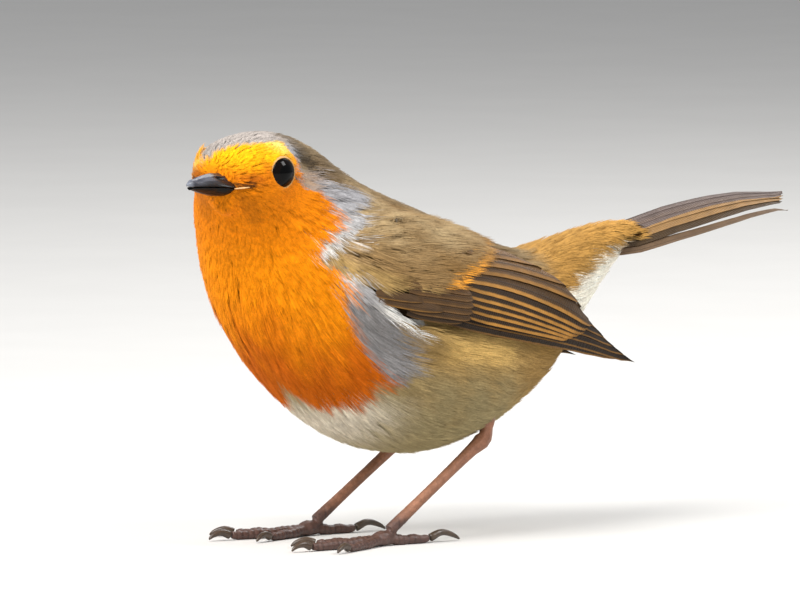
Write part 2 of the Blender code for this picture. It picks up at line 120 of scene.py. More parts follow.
# The front edge of the grey-brown cap: place across the head and place along it, before the head turns.
CAP_EDGE = np.array(
    (
        (-6.7, -40.2), (-5.4, -42.1), (-4.5, -44.9), (-4.0, -47.6), (-3.7, -49.2), (-2.5, -51.0),
        (-0.8, -52.6), (1.2, -53.9), (2.9, -54.9), (4.2, -55.0), (5.3, -54.0), (6.2, -51.0), (7.2, -44.0),
    )
)
GAPE = np.array(((-56.6, 3.35, 59.25), (-55.3, 5.15, 59.65)))  # the bill's soft corner, before the head turns
GAPE_LINE = np.array(((-57.6, 59.5), (-54.2, 59.95)))  # the dark bristles behind it, as (x, z)
# painted shade: a darker line along the crease that runs down from the bill's corner
CHEEK_FOLD_SHADE = np.array(((-55.6, 58.4), (-50.5, 54.0)))  # the faint line down from it, as (x, z)
UNDER_WING = np.array(((-14.5, 32.5), (-3.0, 31.0)))  # the golden part of the flank, as (x, z)
NAPE_STRIPE = np.array(((-40.0, 66.2), (-35.4, 62.2)))  # the dark line behind the ear, as (x, z)
SHOULDER_END = 1.0  # behind this the soft feathers no longer lie over the wing
FLANK_FREE = -19.0  # behind this the wing stands clear of the flank
STREAK = np.array(((-28.9, 40.2), (-20.9, 36.1)))  # the white feathers at the wing's bend, as (x, z)
# The edge between the back's colours and the flank's, and the top of the white under the tail, as (x, z).
BACK_EDGE = np.array(
    ((-45, 62), (-33, 47), (-20, 42), (0, 40), (14, 39), (18, 42.6), (23, 45.2), (30, 47), (45, 48.5))
)
UNDERTAIL_TOP = np.array(((15, 40), (19, 42), (26, 45.2), (36, 46.0)))


# ---------------------------------------------------------------- numbers and places


def smoothstep(low, high, x):
    t = np.clip((x - low) / (high - low), 0.0, 1.0)
    return t * t * (3 - 2 * t)


def bell(x, middle, width):
    return np.exp(-(((x - middle) / width) ** 2))


def unit(vectors):
    return vectors / np.maximum(np.linalg.norm(vectors, axis=-1, keepdims=True), 1e-9)


def blended(first, second, share):
    first, second = np.array(first, float), np.array(second, float)
    return first + (second - first) * np.asarray(share)[..., None]


def linear(red, green, blue):
    """A colour from its usual 0 to 255 values, as the light it gives back."""
    shares = (red / 255, green / 255, blue / 255)
    return tuple(c / 12.92 if c <= 0.04045 else ((c + 0.055) / 1.055) ** 2.4 for c in shares)


def ripple(points, size, seed):
    """A smooth random number from about -1 to 1 at each point, the sum of five waves of about one size."""
    rng = np.random.default_rng(seed)
    total = 0.0
    for _ in range(5):
        way = unit(rng.normal(size=3)) * 2 * math.pi / size * rng.uniform(0.7, 1.4)
        total = total + np.sin(points @ way + rng.uniform(0, 6.28))
    return total / 2.6


def turned(points, share, back=False):
    """Points or directions turned with the head by a share of its turn, or turned back."""
    result = np.array(points, float)
    steps = HEAD_ANGLES[::-1] if back else HEAD_ANGLES
    for axis, degrees in steps:
        angle = np.radians(-degrees if back else degrees) * share
        first, second = (axis + 1) % 3, (axis + 2) % 3
        a, b = result[:, first].copy(), result[:, second].copy()
        result[:, first] = a * np.cos(angle) - b * np.sin(angle)
        result[:, second] = a * np.sin(angle) + b * np.cos(angle)
    return result


def with_head(way):
    """One direction given for a head that looks straight ahead, turned with the head."""
    return turned([way], 1.0)[0]


def bent(points):
    """Places given for a head that looks straight ahead, moved to where the turned head has them."""
    return turned(np.atleast_2d(points) - NECK_PIVOT, 1.0) + NECK_PIVOT


def unbent(points):
    """Places on the turned head, moved to where they would be if it looked straight ahead."""
    return turned(points - NECK_PIVOT, 1.0, back=True) + NECK_PIVOT


def straightened(points):
    """Where points would be if the head weren't turned, and the share of its turn that each takes."""
    points = np.asarray(points, float)
    straight = points
    for _ in range(7):
        along = NECK_WAY[0] * (straight[:, 0] - NECK_START) + NECK_WAY[1] * straight[:, 2]
        share = smoothstep(*NECK_TURNS, along)
        straight = turned(points - NECK_PIVOT, share, back=True) + NECK_PIVOT
    return straight, share


def from_line(points, line):
    """How far places are from a line, as seen from the side."""
    flat = np.asarray(points)[:, (0, 2)]
    nearest = np.full(len(flat), np.inf)
    for a, b in zip(line[:-1], line[1:]):
        t = np.clip(((flat - a) @ (b - a)) / ((b - a) @ (b - a)), 0, 1)
        nearest = np.minimum(nearest, np.linalg.norm(flat - a - t[:, None] * (b - a), axis=1))
    return nearest


def close_to(points, place, reach):
    """1 at a place, falling off round it over its reach."""
    return np.exp(-((np.linalg.norm(points - place, axis=1) / reach) ** 2))


def blot(x, z, middle, size):
    """1 at a place as seen from the side, falling off over a length and a height."""
    return np.exp(-(((x - middle[0]) / size[0]) ** 2 + ((z - middle[1]) / size[1]) ** 2))


def wing_shows(points):
    """Which places lie where the stiff feathers of the wing are in view."""
    x, _, z = np.asarray(points).T
    top = np.where(x > WING_TOP[-1, 0], 99.0, np.interp(x, *WING_TOP.T))
    return (x > WING_TOP[0, 0]) & (z < top) & (z > np.interp(x, *WING_LOW.T))


@functools.lru_cache
def eye_places():
    """The middle of each eye's ball and the way it looks, nearly square to the head's surface there."""
    places = []
    head = search_tree(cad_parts["head"])
    for side, sign in SIDES.items():
        low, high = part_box("eye_" + side)
        middle = np.array((low + high) / 2) / MM
        sideways = with_head((0, sign, 0))
        rim = []
        for angle in np.linspace(0, 2 * math.pi, 16, endpoint=False):
            spot = (EYE_X + EYE_RIM * math.cos(angle), sign * 40, EYE_Z + EYE_RIM * math.sin(angle))
            hit = head.ray_cast(Vector(bent(EYE_SHIFT + spot)[0]), Vector(-sideways))[0]
            if hit is not None:
                rim.append(hit)
        rim = np.array(rim)
        outward = np.linalg.svd(rim - rim.mean(0))[2][2]
        outward = outward * np.sign(outward @ sideways) * (1 - EYE_SIDEWAYS) + sideways * EYE_SIDEWAYS
        outward = unit(outward - (0, 0, EYE_DOWN))
        places.append((middle + with_head(EYE_SHIFT) - outward * EYE_SUNK, outward))
    return places


def round_eye(points, eye):
    """How far places lie ahead of an eye's middle and from it, and the way and distance off its axis."""
    middle, outward = eye
    away = points - middle
    ahead = away @ outward
    across = away - ahead[..., None] * outward
    return ahead, np.linalg.norm(away, axis=-1), across, np.linalg.norm(across, axis=-1)


def from_eyes(points):
    """How far places are from the middle of the nearer eye."""
    return np.min([np.linalg.norm(points - middle, axis=1) for middle, _ in eye_places()], axis=0)


# ---------------------------------------------------------------- colours and lie of the coat


def upper_colour(points, straight, ragged, paints):
    """The back with the tips over the wing, the rump, the crown and the nape."""
    x, y, z = straight.T
    y = np.abs(y)
    shade = 0.5 + 0.5 * ripple(points, 9.0, 8) + 0.3 * ripple(points, 3.0, 16)
    mantle = blended(paints.mantle, paints.mantle_dark, shade)
    shoulder = smoothstep(10, 15, y) * smoothstep(52, 46, z) * smoothstep(-35, -30, x)
    mantle = blended(mantle, paints.shoulder, 0.75 * shoulder)
    mantle = mantle * (1 - 0.42 * smoothstep(11, 5, y) * smoothstep(-34, -26, x))[:, None]
    spots = from_line(points, WING_TOP[5:-1]) + 0.7 * ripple(points, 1.7, 14)
    tips = smoothstep(1.6, 0.6, spots) * smoothstep(-17.5, -15.5, x) * (y > BESIDE)
    mantle = blended(mantle, paints.wing_spot, 0.9 * tips * (0.3 + 0.7 * smoothstep(-5.0, -9.0, x)))
    rump = blended(paints.rump, paints.coverts, smoothstep(22, 31, x))
    upper = blended(mantle, rump, smoothstep(9, 15, x + ragged))
    crown = blended(paints.crown, paints.nape, smoothstep(-44.5, -37.5, x + 2 * ripple(points, 5.0, 9)))
    crown = crown * (1 + 0.16 * ripple(points, 1.3, 17))[:, None]
    upper = blended(upper, crown, smoothstep(61.5, 64.0, z) * smoothstep(-33, -37, x))
    return blended(upper, paints.nape, 0.8 * bell(z, 63, 5) * bell(x, -32, 8))


def flank_colour(points, straight, ragged, paints):
    """The flank, the belly and the white under the tail, with painted shade in the belly's and the rear
    flank's paints.
    """
    x, _, z = straight.T
    # the belly's paint is partly its own pale buff and partly painted shade under the body
    flank = blended(paints.flank, paints.belly, smoothstep(33, 20, z + 2.5 * ripple(points, 6.0, 10)))
    # part real brown, part painted shade: the rear flank under the wing's end is darkened to the vent's brown
    flank = blended(flank, paints.vent, 0.75 * smoothstep(-4, 8, x) * smoothstep(17, 24, z))
    flank = blended(flank, paints.belly_front, bell(x, -28, 5.5) * smoothstep(26, 22, z + ragged))
    golden = bell(from_line(points, UNDER_WING), 0, 2.4)
    flank = blended(flank, paints.flank_light, 0.85 * golden)
    above_white = z - np.interp(x, *UNDERTAIL_TOP.T) + 0.8 * ragged
    return blended(flank, paints.undertail, smoothstep(15.2, 17.6, x) * smoothstep(0.8, -0.8, above_white))


def grey_colour(x, z, paints):
    """The grey band behind the orange, brown behind the ear."""
    grey = blended(paints.grey, paints.grey_light, bell(z, 50, 4.0) + 0.35 * bell(z, 43, 4))
    grey = blended(grey, paints.grey_breast, smoothstep(44, 38, z))
    return blended(grey, paints.ear, 0.75 * bell(z, 60.6, 2.0) * bell(x, -37.5, 3.0))


def orange_colour(points, straight, ragged, paints):
    """The breast, the throat and the face with its finer marks, and painted shade low on the breast, along
    the cheek's crease and in the throat's hollow.
    """
    x, y, z = straight.T
    y = np.abs(y)
    # painted shade: the breast darkens from its upper orange to a shaded orange low down, where shade falls
    # under the body
    breast = blended(paints.breast, paints.breast_shaded, smoothstep(41, 26, z + 3 * ripple(points, 9.0, 11)))
    breast = blended(breast, paints.throat, smoothstep(46, 52, z) * 0.7)
    breast = blended(breast, paints.face, smoothstep(60.5, 65.0, z + 0.5 * ragged) * smoothstep(-40, -46, x))
    breast = blended(breast, paints.brow, 0.9 * bell(z, 66.6, 1.3) * bell(x, -46.0, 2.3))
    breast = blended(breast, paints.brow, 0.9 * close_to(straight, BROW_TUFT, TUFT_REACH))
    lore = blot(x, z, (-54.4, 61.0), (1.9, 1.0)) * smoothstep(2.0, 3.5, y)
    breast = blended(breast, paints.lore, 0.75 * lore)
    bristles = smoothstep(0.7, 0.2, from_line(straight, GAPE_LINE)) * smoothstep(1.5, 2.5, y)
    breast = blended(breast, paints.gape, 0.9 * bristles)
    before_eye = blot(x, z, (-52.1, 62.4), (1.0, 2.1)) * smoothstep(3, 5, y)
    breast = blended(breast, blended(paints.throat, paints.lore, 0.3), 0.8 * before_eye)
    # painted shade: darker along the cheek's crease and in the hollow at the front of the throat
    fold = smoothstep(1.2, 0.2, from_line(straight, CHEEK_FOLD_SHADE)) * (y > 3)
    throat_hollow_shade = blot(x, z, (-48.5, 46.5), (2.0, 2.2)) * bell(y, 0, 3.0)
    return breast * (1 - 0.22 * fold - 0.2 * throat_hollow_shade)[:, None]


def markings(points, paints):
    """The plumage's colour at places on the bird, with painted shade low on the breast and belly, on the rear
    flank and in the throat's creases.
    """
    straight, _ = straightened(points)
    x, y, z = straight.T
    ragged = 0.5 * ripple(points, 4.0, 3) + 0.35 * ripple(points, 1.6, 4)
    cap = smoothstep(-0.7, 0.7, x - np.interp(y, *CAP_EDGE.T) + 0.4 * ragged) * smoothstep(61, 63, z)
    y = np.abs(y)
    behind = x - np.interp(z, *ORANGE_EDGE.T) + ragged
    underside = 22.3 + 3.5 * bell(y, 0, 2.5) + 4.7 * smoothstep(10, 17.6, y)
    above = z - underside + 0.6 * ragged
    orange = smoothstep(0.5, -0.5, behind) * smoothstep(-0.6, 0.6, above) * (1 - cap)

    upper = upper_colour(points, straight, ragged, paints)
    flank = flank_colour(points, straight, ragged, paints)
    colour = blended(flank, upper, smoothstep(-1.2, 1.2, z - np.interp(x, *BACK_EDGE.T) + 0.8 * ragged))
    width = np.interp(z, *GREY_BAND.T)
    band = smoothstep(width + 1.2, width - 1.2, behind + 1.5 * ragged) * (width > 0.1)
    colour = blended(colour, grey_colour(x, z, paints), band * smoothstep(26, 28, z) * (1 - cap))
    stripe = smoothstep(1.3, 0.4, from_line(straight, NAPE_STRIPE) + 0.4 * ragged) * (y > 4)
    colour = colour * (1 - 0.55 * stripe)[:, None]
    white = smoothstep(1.7, 1.0, from_line(points, STREAK) + 0.3 * ripple(points, 1.4, 15)) * (y > BESIDE)
    colour = blended(colour, paints.streak, white)
    colour = blended(colour, orange_colour(points, straight, ragged, paints), orange)
    return colour * (1 + 0.05 * ripple(points, 2.6, 12) + 0.05 * ripple(points, 1.4, 18))[:, None]


def lie(points):
    """The way that the feathers lie at places on the bird, before they are laid on its surface."""
    straight, share = straightened(points)
    x, y, z = straight.T
    front = smoothstep(-26, -38, x) * smoothstep(63, 56, z)
    cheek = smoothstep(-40, -46, x) * smoothstep(55, 58, z) * smoothstep(3, 5, np.abs(y))
    drop = 0.24 + 0.8 * front
    drop = drop + (0.34 - drop) * cheek
    drop = drop - 0.5 * smoothstep(2, 22, x) * smoothstep(48, 40, z)
    drop = drop + (0.53 - drop) * bell(from_line(points, STREAK), 0, 2.5) * (np.abs(y) > BESIDE)
    way = unit(np.column_stack((np.ones(len(x)), np.zeros(len(x)), -drop)))
    near_bill = close_to(straight, BILL_BASE, 5.5)[:, None]
    way = unit(way + 2.2 * near_bill * unit(straight - BILL_BASE))
    collar = smoothstep(-55.2, -56.4, x) * smoothstep(57.8, 58.8, z)
    way = unit(blended(way, np.column_stack((-np.ones(len(x)), 0.05 * y, 0.12 * (z - 59.9))), collar))
    way = unit(blended(way, (-0.15, 0.3, 1.0), close_to(straight, BROW_TUFT, TUFT_REACH)))
    way = turned(way, share)
    for eye in eye_places():
        ahead, reach, across, distance = round_eye(points, eye)
        near = bell(distance, 2.2, 1.3) * (ahead > 0) * (reach < 7)
        way = way + 0.9 * near[:, None] * unit(across)
    wander = np.column_stack([ripple(points, 7.0, 20 + k) for k in range(3)])
    return unit(unit(way) + 0.13 * wander)


def coarseness(points):
    """0 on the smallest feathers, round the bill and eyes, and 1 on the body."""
    straight, _ = straightened(points)
    return smoothstep(4.0, 21.0, np.linalg.norm(straight - (-52.0, 0.0, 60.5), axis=1))


def coat_depth(points):
    """How deep the skin lies under the tips of the coat."""
    straight, _ = straightened(points)
    x, _, z = straight.T
    near_bill, near_eye = close_to(straight, BILL_BASE, 4.5), smoothstep(6.2, 4.0, from_eyes(points))
    base = (0.47 + 0.78 * coarseness(points)) * (1 - 0.35 * near_bill) * (1 - 0.5 * near_eye)
    return base + 0.2 * smoothstep(30, 22, z) - 0.3 * smoothstep(18, 32, x)


# ---------------------------------------------------------------- meshes and materials


def choose(*objects):
    """Only these objects are selected, and the last one is active."""
    bpy.ops.object.select_all(action="DESELECT")
    for made in objects:
        made.select_set(True)
        bpy.context.view_layer.objects.active = made


def values_of(items, key, size, kind=float):
    """One value or more from each point, corner or face of a mesh, as an array."""
    found = np.empty(len(items) * size, kind)
    items.foreach_get(key, found)
    return found.reshape(-1, size)


def mesh_points(mesh):
    return values_of(mesh.vertices, "co", 3) / MM


def mesh_normals(mesh):
    return values_of(mesh.vertices, "normal", 3)


def place_points(mesh, points):
    mesh.vertices.foreach_set("co", (np.asarray(points) * MM).ravel())
    mesh.update()


def node_copy(name):
    """A new object with a CAD node's shape, its loose triangles merged."""
    made = bpy.data.objects.new(name + "_shape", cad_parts[name].data.copy())
    bpy.context.scene.collection.objects.link(made)
    shaped = bmesh.new()
    shaped.from_mesh(made.data)
    bmesh.ops.remove_doubles(shaped, verts=shaped.verts, dist=1e-6)
    shaped.to_mesh(made.data)
    shaped.free()
    made.data.materials.clear()
    return made


def swollen(made, amount):
    place_points(made.data, mesh_points(made.data) + mesh_normals(made.data) * amount)
    return made


def joined(name, *objects):
    choose(*objects)
    bpy.ops.object.join()
    made = bpy.context.view_layer.objects.active
    made.name = made.data.name = name
    return made


def apply_modifier(made, kind, **settings):
    modifier = made.modifiers.new(kind.lower(), kind)
    for key, value in settings.items():
        setattr(modifier, key, value)
    choose(made)
    bpy.ops.object.modifier_apply(modifier=modifier.name)


def remeshed(made, voxel, smoothing):
    """One closed even mesh from all the shells of an object."""
    apply_modifier(made, "REMESH", mode="VOXEL", voxel_size=voxel * MM, use_smooth_shade=True)
    apply_modifier(made, "SMOOTH", factor=0.5, iterations=smoothing)
    return made


def primitive(name, kind, **settings):
    """A new primitive, with nothing else selected."""
    bpy.ops.object.select_all(action="DESELECT")
    getattr(bpy.ops.mesh, f"primitive_{kind}_add")(**settings)
    made = bpy.context.view_layer.objects.active
    made.name = made.data.name = name
    return made


def ball(name, centre, size, turn=None):
    """A ball or an egg, with its place in its mesh."""
    made = primitive(name, "uv_sphere", segments=40, ring_count=24, radius=1.0)
    stretch = Matrix.Diagonal((*(Vector(size) * MM), 1))
    made.data.transform(Matrix.Translation(Vector(centre) * MM) @ (turn or Matrix.Identity(4)) @ stretch)
    made.data.shade_smooth()
    return made


def hoop(name, radius, thickness):
    """A ring round Z at the world's middle."""
    sizes = {"major_radius": radius * MM, "minor_radius": thickness * MM}
    return primitive(name, "torus", major_segments=96, minor_segments=12, **sizes)


def facing(outward, centre):
    """What turns a shape made round Z at the world's middle to look outward, and moves it to its centre."""
    turn = Vector(outward).to_track_quat("Z", "Y").to_matrix().to_4x4()
    return Matrix.Translation(Vector(centre) * MM) @ turn


def unwrapped(made):
    """A map of the piece's own shape."""
    while made.data.uv_layers:
        made.data.uv_layers.remove(made.data.uv_layers[0])
    made.data.uv_layers.new(name=COAT_MAP)
    choose(made)
    bpy.ops.object.mode_set(mode="EDIT")
    bpy.ops.mesh.select_all(action="SELECT")
    bpy.ops.uv.smart_project(angle_limit=math.radians(66), island_margin=0.004)
    bpy.ops.object.mode_set(mode="OBJECT")
    return made


def search_tree(*objects):
    points, faces = [], []
    for made in objects:
        base = len(points)
        points += mesh_points(made.data).tolist()
        faces += [[base + i for i in p.vertices] for p in made.data.polygons]
    return BVHTree.FromPolygons(points, faces)


def wing_nodes(side, *parts):
    return [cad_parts[f"wing_{side}_{part}"] for part in parts]


def set_colours(mesh, name, colours):
    """A colour for each point of a mesh."""
    layer = mesh.color_attributes.new(name, "FLOAT_COLOR", "POINT")
    layer.data.foreach_set("color", np.column_stack((np.clip(colours, 0, 1), np.ones(len(colours)))).ravel())


def set_numbers(mesh, name, numbers):
    """A number for each point of a mesh."""
    mesh.attributes.new(name, "FLOAT", "POINT").data.foreach_set("value", np.asarray(numbers, float))


def corner_points(mesh):
    """Which point each corner of a mesh's faces is at."""
    return values_of(mesh.loops, "vertex_index", 1, np.int32).ravel()


def set_map(mesh, name, places):
    """A map from one place for each point of a mesh."""
    flat = places[corner_points(mesh)].astype(np.float32).ravel()
    mesh.uv_layers.new(name=name).data.foreach_set("uv", flat)


def mesh_from(name, points, quads, triangles):
    """An object from points in millimetres and arrays of its four- and three-sided faces."""
    mesh = bpy.data.meshes.new(name)
    mesh.vertices.add(len(points))
    mesh.vertices.foreach_set("co", (points * MM).ravel())
    loops = np.concatenate((quads.ravel(), triangles.ravel())).astype(np.int32)
    mesh.loops.add(len(loops))
    mesh.loops.foreach_set("vertex_index", loops)
    starts = np.concatenate((np.arange(len(quads)) * 4, len(quads) * 4 + np.arange(len(triangles)) * 3))
    mesh.polygons.add(len(starts))
    mesh.polygons.foreach_set("loop_start", starts.astype(np.int32))
    mesh.update(calc_edges=True)
    mesh.shade_smooth()
    made = bpy.data.objects.new(name, mesh)
    bpy.context.scene.collection.objects.link(made)
    return made


class Nodes:
    """A material's nodes, added and linked by name."""

    def __init__(self, name):
        self.material = bpy.data.materials.new(name)
        self.material.use_nodes = True
        self.tree = self.material.node_tree
        self.surface = self.tree.nodes["Principled BSDF"]

    def add(self, kind, inputs=None, **settings):
        node = self.tree.nodes.new("ShaderNode" + kind)
        for key, value in settings.items():
            setattr(node, key, value)
        for key, value in (inputs or {}).items():
            self.put(node.inputs[key], value)
        return node

    def put(self, socket, value):
        if isinstance(value, bpy.types.NodeSocket):
            self.tree.links.new(value, socket)
        else:
            socket.default_value = value

    def set(self, **inputs):
        for key, value in inputs.items():
            self.put(self.surface.inputs[key.replace("_", " ")], value)

    def place(self):
        return self.add("TexCoord").outputs["Object"]

    def attribute(self, name, output="Color"):
        return self.add("Attribute", attribute_name=name).outputs[output]

    def noise(self, where, scale, detail=3.0, roughness=0.55):
        inputs = {"Vector": where, "Scale": scale, "Detail": detail, "Roughness": roughness}
        return self.add("TexNoise", inputs).outputs["Fac"]

    def math(self, operation, *values):
        node = self.add("Math", operation=operation)
        for socket, value in zip(node.inputs, values):
            self.put(socket, value)
        return node.outputs[0]

    def times(self, first, second):
        return self.math("MULTIPLY", first, second)

    def ranged(self, value, low, high, to_low=0.0, to_high=1.0):
        inputs = {"Value": value, "From Min": low, "From Max": high, "To Min": to_low, "To Max": to_high}
        return self.add("MapRange", inputs, interpolation_type="SMOOTHSTEP").outputs["Result"]

    def mix(self, share, first, second, blend="MIX"):
        node = self.add("Mix", data_type="RGBA", blend_type=blend, clamp_factor=True)
        self.put(node.inputs[0], share)
        for socket, value in ((node.inputs[6], first), (node.inputs[7], second)):
            self.put(socket, (*value, 1.0) if isinstance(value, (tuple, list)) and len(value) == 3 else value)
        return node.outputs[2]

    def darkened(self, share, colour, shade):
        return self.mix(share, colour, shade, "MULTIPLY")

    def bump(self, height, strength, distance):
        made = self.add("Bump", {"Height": height, "Strength": strength, "Distance": distance * MM})
        self.put(self.surface.inputs["Normal"], made.outputs["Normal"])


def dressed(made, material, slot, *replaced):
    """A finished piece: its material, its body and the nodes it stands for; its slot is not used."""
    made.data.materials.clear()
    made.data.materials.append(material)
    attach(made, ROOT)
    if replaced:
        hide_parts(*replaced)
    return made


def found_material(name, build):
    return bpy.data.materials.get(name) or build(name)


def coat_material(name):
    """Soft feather barbs in the colours that the markings give them."""
    nodes = Nodes(name)
    grain = nodes.noise(nodes.place(), scale=2600.0, detail=2.0)
    colour = nodes.darkened(0.25, nodes.attribute("plumage"), nodes.ranged(grain, 0.3, 0.7, 0.6, 1.3))
    nodes.set(Base_Color=colour, Roughness=0.78, Specular_IOR_Level=0.12)
    nodes.set(Sheen_Weight=0.03, Sheen_Roughness=0.5)
    return nodes.material


def skin_material(name):
    """The down under the feathers, darker than their tips and broken up finely."""
    nodes = Nodes(name)
    grain = nodes.noise(nodes.place(), scale=1500.0, detail=4.0, roughness=0.7)
    colour = nodes.darkened(0.8, nodes.attribute("plumage"), nodes.ranged(grain, 0.3, 0.72, 0.7, 1.0))
    nodes.set(Base_Color=colour, Roughness=0.9, Specular_IOR_Level=0.1, Sheen_Weight=0.1)
    nodes.bump(grain, strength=0.6, distance=0.25)
    return nodes.material


# ---------------------------------------------------------------- feathers


class Feathers:
    """Body feathers as tufts: each is a fan of thin three-sided barbs along a path over a surface."""

    STATIONS = 5
    RINGS = 2  # three-cornered rings along a barb, before its point
    RING_SIZES = np.array((0.85, 1.0))

    def __init__(self, rng, coat, paints):
        self.rng, self.paints = rng, paints
        self.face_length, self.body_length = coat.face_length / MM, coat.body_length / MM
        self.barb, self.barb_count = coat.barb / MM, coat.barbs

    def trace(self, tree, roots, lengths, depth, lift):
        """Paths over a surface from each root, with the side and normal at each station."""
        count = len(roots)
        places, normals = [], []
        here, way = roots, None
        for _ in range(self.STATIONS):
            spots, ups = np.empty((count, 3)), np.empty((count, 3))
            for i, p in enumerate(here.tolist()):
                spots[i], ups[i] = tree.find_nearest(p)[:2]
            heading = lie(spots)
            if way is None:
                spin = self.rng.normal(0, math.radians(7), count)
                heading = unit(heading + np.cross(ups, heading) * np.tan(spin)[:, None])
            else:
                heading = unit(0.75 * way + 0.25 * heading)
            way = unit(heading - (heading * ups).sum(1, keepdims=True) * ups)
            places.append(spots)
            normals.append(ups)
            here = spots + way * (lengths / (self.STATIONS - 1))[:, None]
        path, normal = np.stack(places, 1), np.stack(normals, 1)
        share = np.linspace(0, 1, self.STATIONS)
        rise = (depth[:, None] * (-0.08 + 1.08 * share**0.7)) + lift[:, None] * share**1.5
        along = unit(np.gradient(path, axis=1))
        normal = unit(normal - (normal * along).sum(2, keepdims=True) * along)
        path = path + normal * rise[:, :, None]
        return path, np.cross(normal, along), normal

    @staticmethod
    def keep_off_eyes(path):
        for eye in eye_places():
            ahead, reach, across, distance = round_eye(path, eye)
            push = np.clip(EYE_SHOWS + 0.34 - distance, 0, 2.6) * (ahead > 0) * (reach < 6)
            path = path + push[..., None] * unit(across)
        return path

    def barbs(self, path, side, normal, half_width, thickness, count):
        """The points and normals of every barb, by feather, barb and point, and each barb's place across."""
        rng, feathers = self.rng, len(path)
        across = np.linspace(-1, 1, count)[None, :] + rng.normal(0, 0.5 / count, (feathers, count))
        reach = np.abs(across)
        start = np.clip(0.3 * (1 - reach) + rng.normal(0, 0.08, across.shape), 0, 0.6)
        end = np.clip(1 - 0.34 * reach**2 + rng.normal(0, 0.08, across.shape), 0.5, 1.0)
        spread = half_width[:, None] * across
        row = np.arange(feathers)[:, None]
        centres, sides, ups = [], [], []
        for step in np.linspace(0, 1, self.RINGS + 1) ** 0.85:
            f = (start + (end - start) * step) * (self.STATIONS - 1)
            k = np.clip(f.astype(int), 0, self.STATIONS - 2)
            t = (f - k)[..., None]
            p, s, n = (a[row, k] * (1 - t) + a[row, k + 1] * t for a in (path, side, normal))
            out = spread * (step**0.75) * (1 - 0.25 * step)
            droop = -0.10 * out**2 / np.maximum(half_width[:, None], 0.2)
            centres.append(p + s * out[..., None] + n * droop[..., None])
            sides.append(s)
            ups.append(n)
        centres, ups = np.stack(centres, 2), np.stack(ups, 2)
        wave = rng.normal(0, 0.05, centres.shape[:3]) * np.minimum(half_width, 1.2)[:, None, None]
        centres = centres + np.stack(sides, 2) * wave[..., None]
        sides = unit(np.cross(ups, unit(np.gradient(centres, axis=2))))
        width = thickness[:, None, None] * rng.uniform(0.75, 1.25, (feathers, count, 1)) * self.RING_SIZES
        c, s, n = (a[:, :, : self.RINGS] for a in (centres, sides, ups))
        half = width[..., None] / 2
        corners = np.stack((c - s * half, c + s * half, c + n * half * 0.9), axis=3)
        shade = np.stack((n - s * 0.45, n + s * 0.45, n), axis=3)
        shape = (feathers, count, self.RINGS * 3, 3)
        points = np.concatenate((corners.reshape(shape), centres[:, :, self.RINGS :]), axis=2)
        normals = np.concatenate((shade.reshape(shape), ups[:, :, self.RINGS :]), axis=2)
        return points, unit(normals + 0.12 * sides[:, :, :1]), across

    def faces(self, barbs):
        """Four- and three-sided faces of so many barbs."""
        last, tip = (self.RINGS - 1) * 3, self.RINGS * 3
        turns = ((0, 1), (1, 2), (2, 0))
        quads = [(r + i, r + j, r + 3 + j, r + 3 + i) for r in range(0, last, 3) for i, j in turns]
        triangles = [(2, 1, 0)] + [(last + i, last + j, tip) for i, j in turns]
        base = (np.arange(barbs) * (tip + 1))[:, None, None]
        return (base + np.array(quads)).reshape(-1, 4), (base + np.array(triangles)).reshape(-1, 3)

    def piece(self, name, points, normals, colours, patches):
        """One coat piece from the barbs of its feathers, with its colours and its map."""
        feathers, count, size = points.shape[:3]
        made = mesh_from(name, points.reshape(-1, 3), *self.faces(feathers * count))
        made.data.normals_split_custom_set_from_vertices(normals.reshape(-1, 3).tolist())
        set_colours(made.data, "plumage", colours.reshape(-1, 3))
        across = np.repeat((np.arange(count) / (count - 1) - 0.5)[None, :, None], size, 2)
        along = np.append(np.repeat(np.arange(self.RINGS) / self.RINGS, 3), 1.0)[None, None, :] - 0.5
        aside = np.array([-0.15, 0.15, 0] * self.RINGS + [0])[None, None, :] * PATCH / count
        u = patches[:, 0][:, None, None] + across * PATCH + aside
        v = patches[:, 1][:, None, None] + along * PATCH + 0 * u
        set_map(made.data, COAT_MAP, np.stack((u, v), -1).reshape(-1, 2))
        return dressed(made, found_material("coat", coat_material), "plumage")

    def cover(self, name, tree, spots, patches):
        """Lay feathers on a surface from their roots and make them one piece."""
        if not len(spots):
            return
        rng = self.rng
        size = coarseness(spots)
        count = FACE_BARBS if name == "coat_face" else self.barb_count
        long = 1 + 0.5 * (spots[:, 0] < -20) * smoothstep(50, 38, spots[:, 2])
        lengths = self.face_length + (self.body_length - self.face_length) * size
        lengths = lengths * rng.uniform(0.85, 1.15, len(spots)) * long
        lengths *= 0.6 + 0.4 * smoothstep(1.5, 6.0, np.linalg.norm(spots - bent(BILL_BASE)[0], axis=1))
        stray = (rng.normal(0.02, 0.04, len(spots)), rng.random(len(spots)) < 0.02)
        tuft = close_to(spots, bent(BROW_TUFT)[0], 1.5)
        lift = stray[0] + 0.04 * stray[1] * (spots[:, 0] < 5) + 2.2 * tuft + 0.5 * ("shoulder" in name)
        lengths *= 1 + 0.9 * tuft
        path, side, normal = self.trace(tree, spots, lengths, coat_depth(spots), lift * (0.5 + 0.5 * size))
        over_wing = wing_shows(path[:, 3]) & (spots[:, 2] >= np.interp(spots[:, 0], *WING_LOW.T))
        kept = ~over_wing | (spots[:, 0] > SHOULDER_END) | (np.abs(spots[:, 1]) < 5)
        kept &= path[:, -1, 0] < COAT_END
        spots, patches, size = spots[kept], patches[kept], size[kept]
        path, side, normal = self.keep_off_eyes(path[kept]), side[kept], normal[kept]
        broad = 1.15 if "shoulder" in name or "back" in name else 1.0
        half_width = (0.45 + 0.85 * size) * rng.uniform(0.85, 1.15, len(spots)) * broad
        thickness = THIN_BARB + (self.barb - THIN_BARB) * size
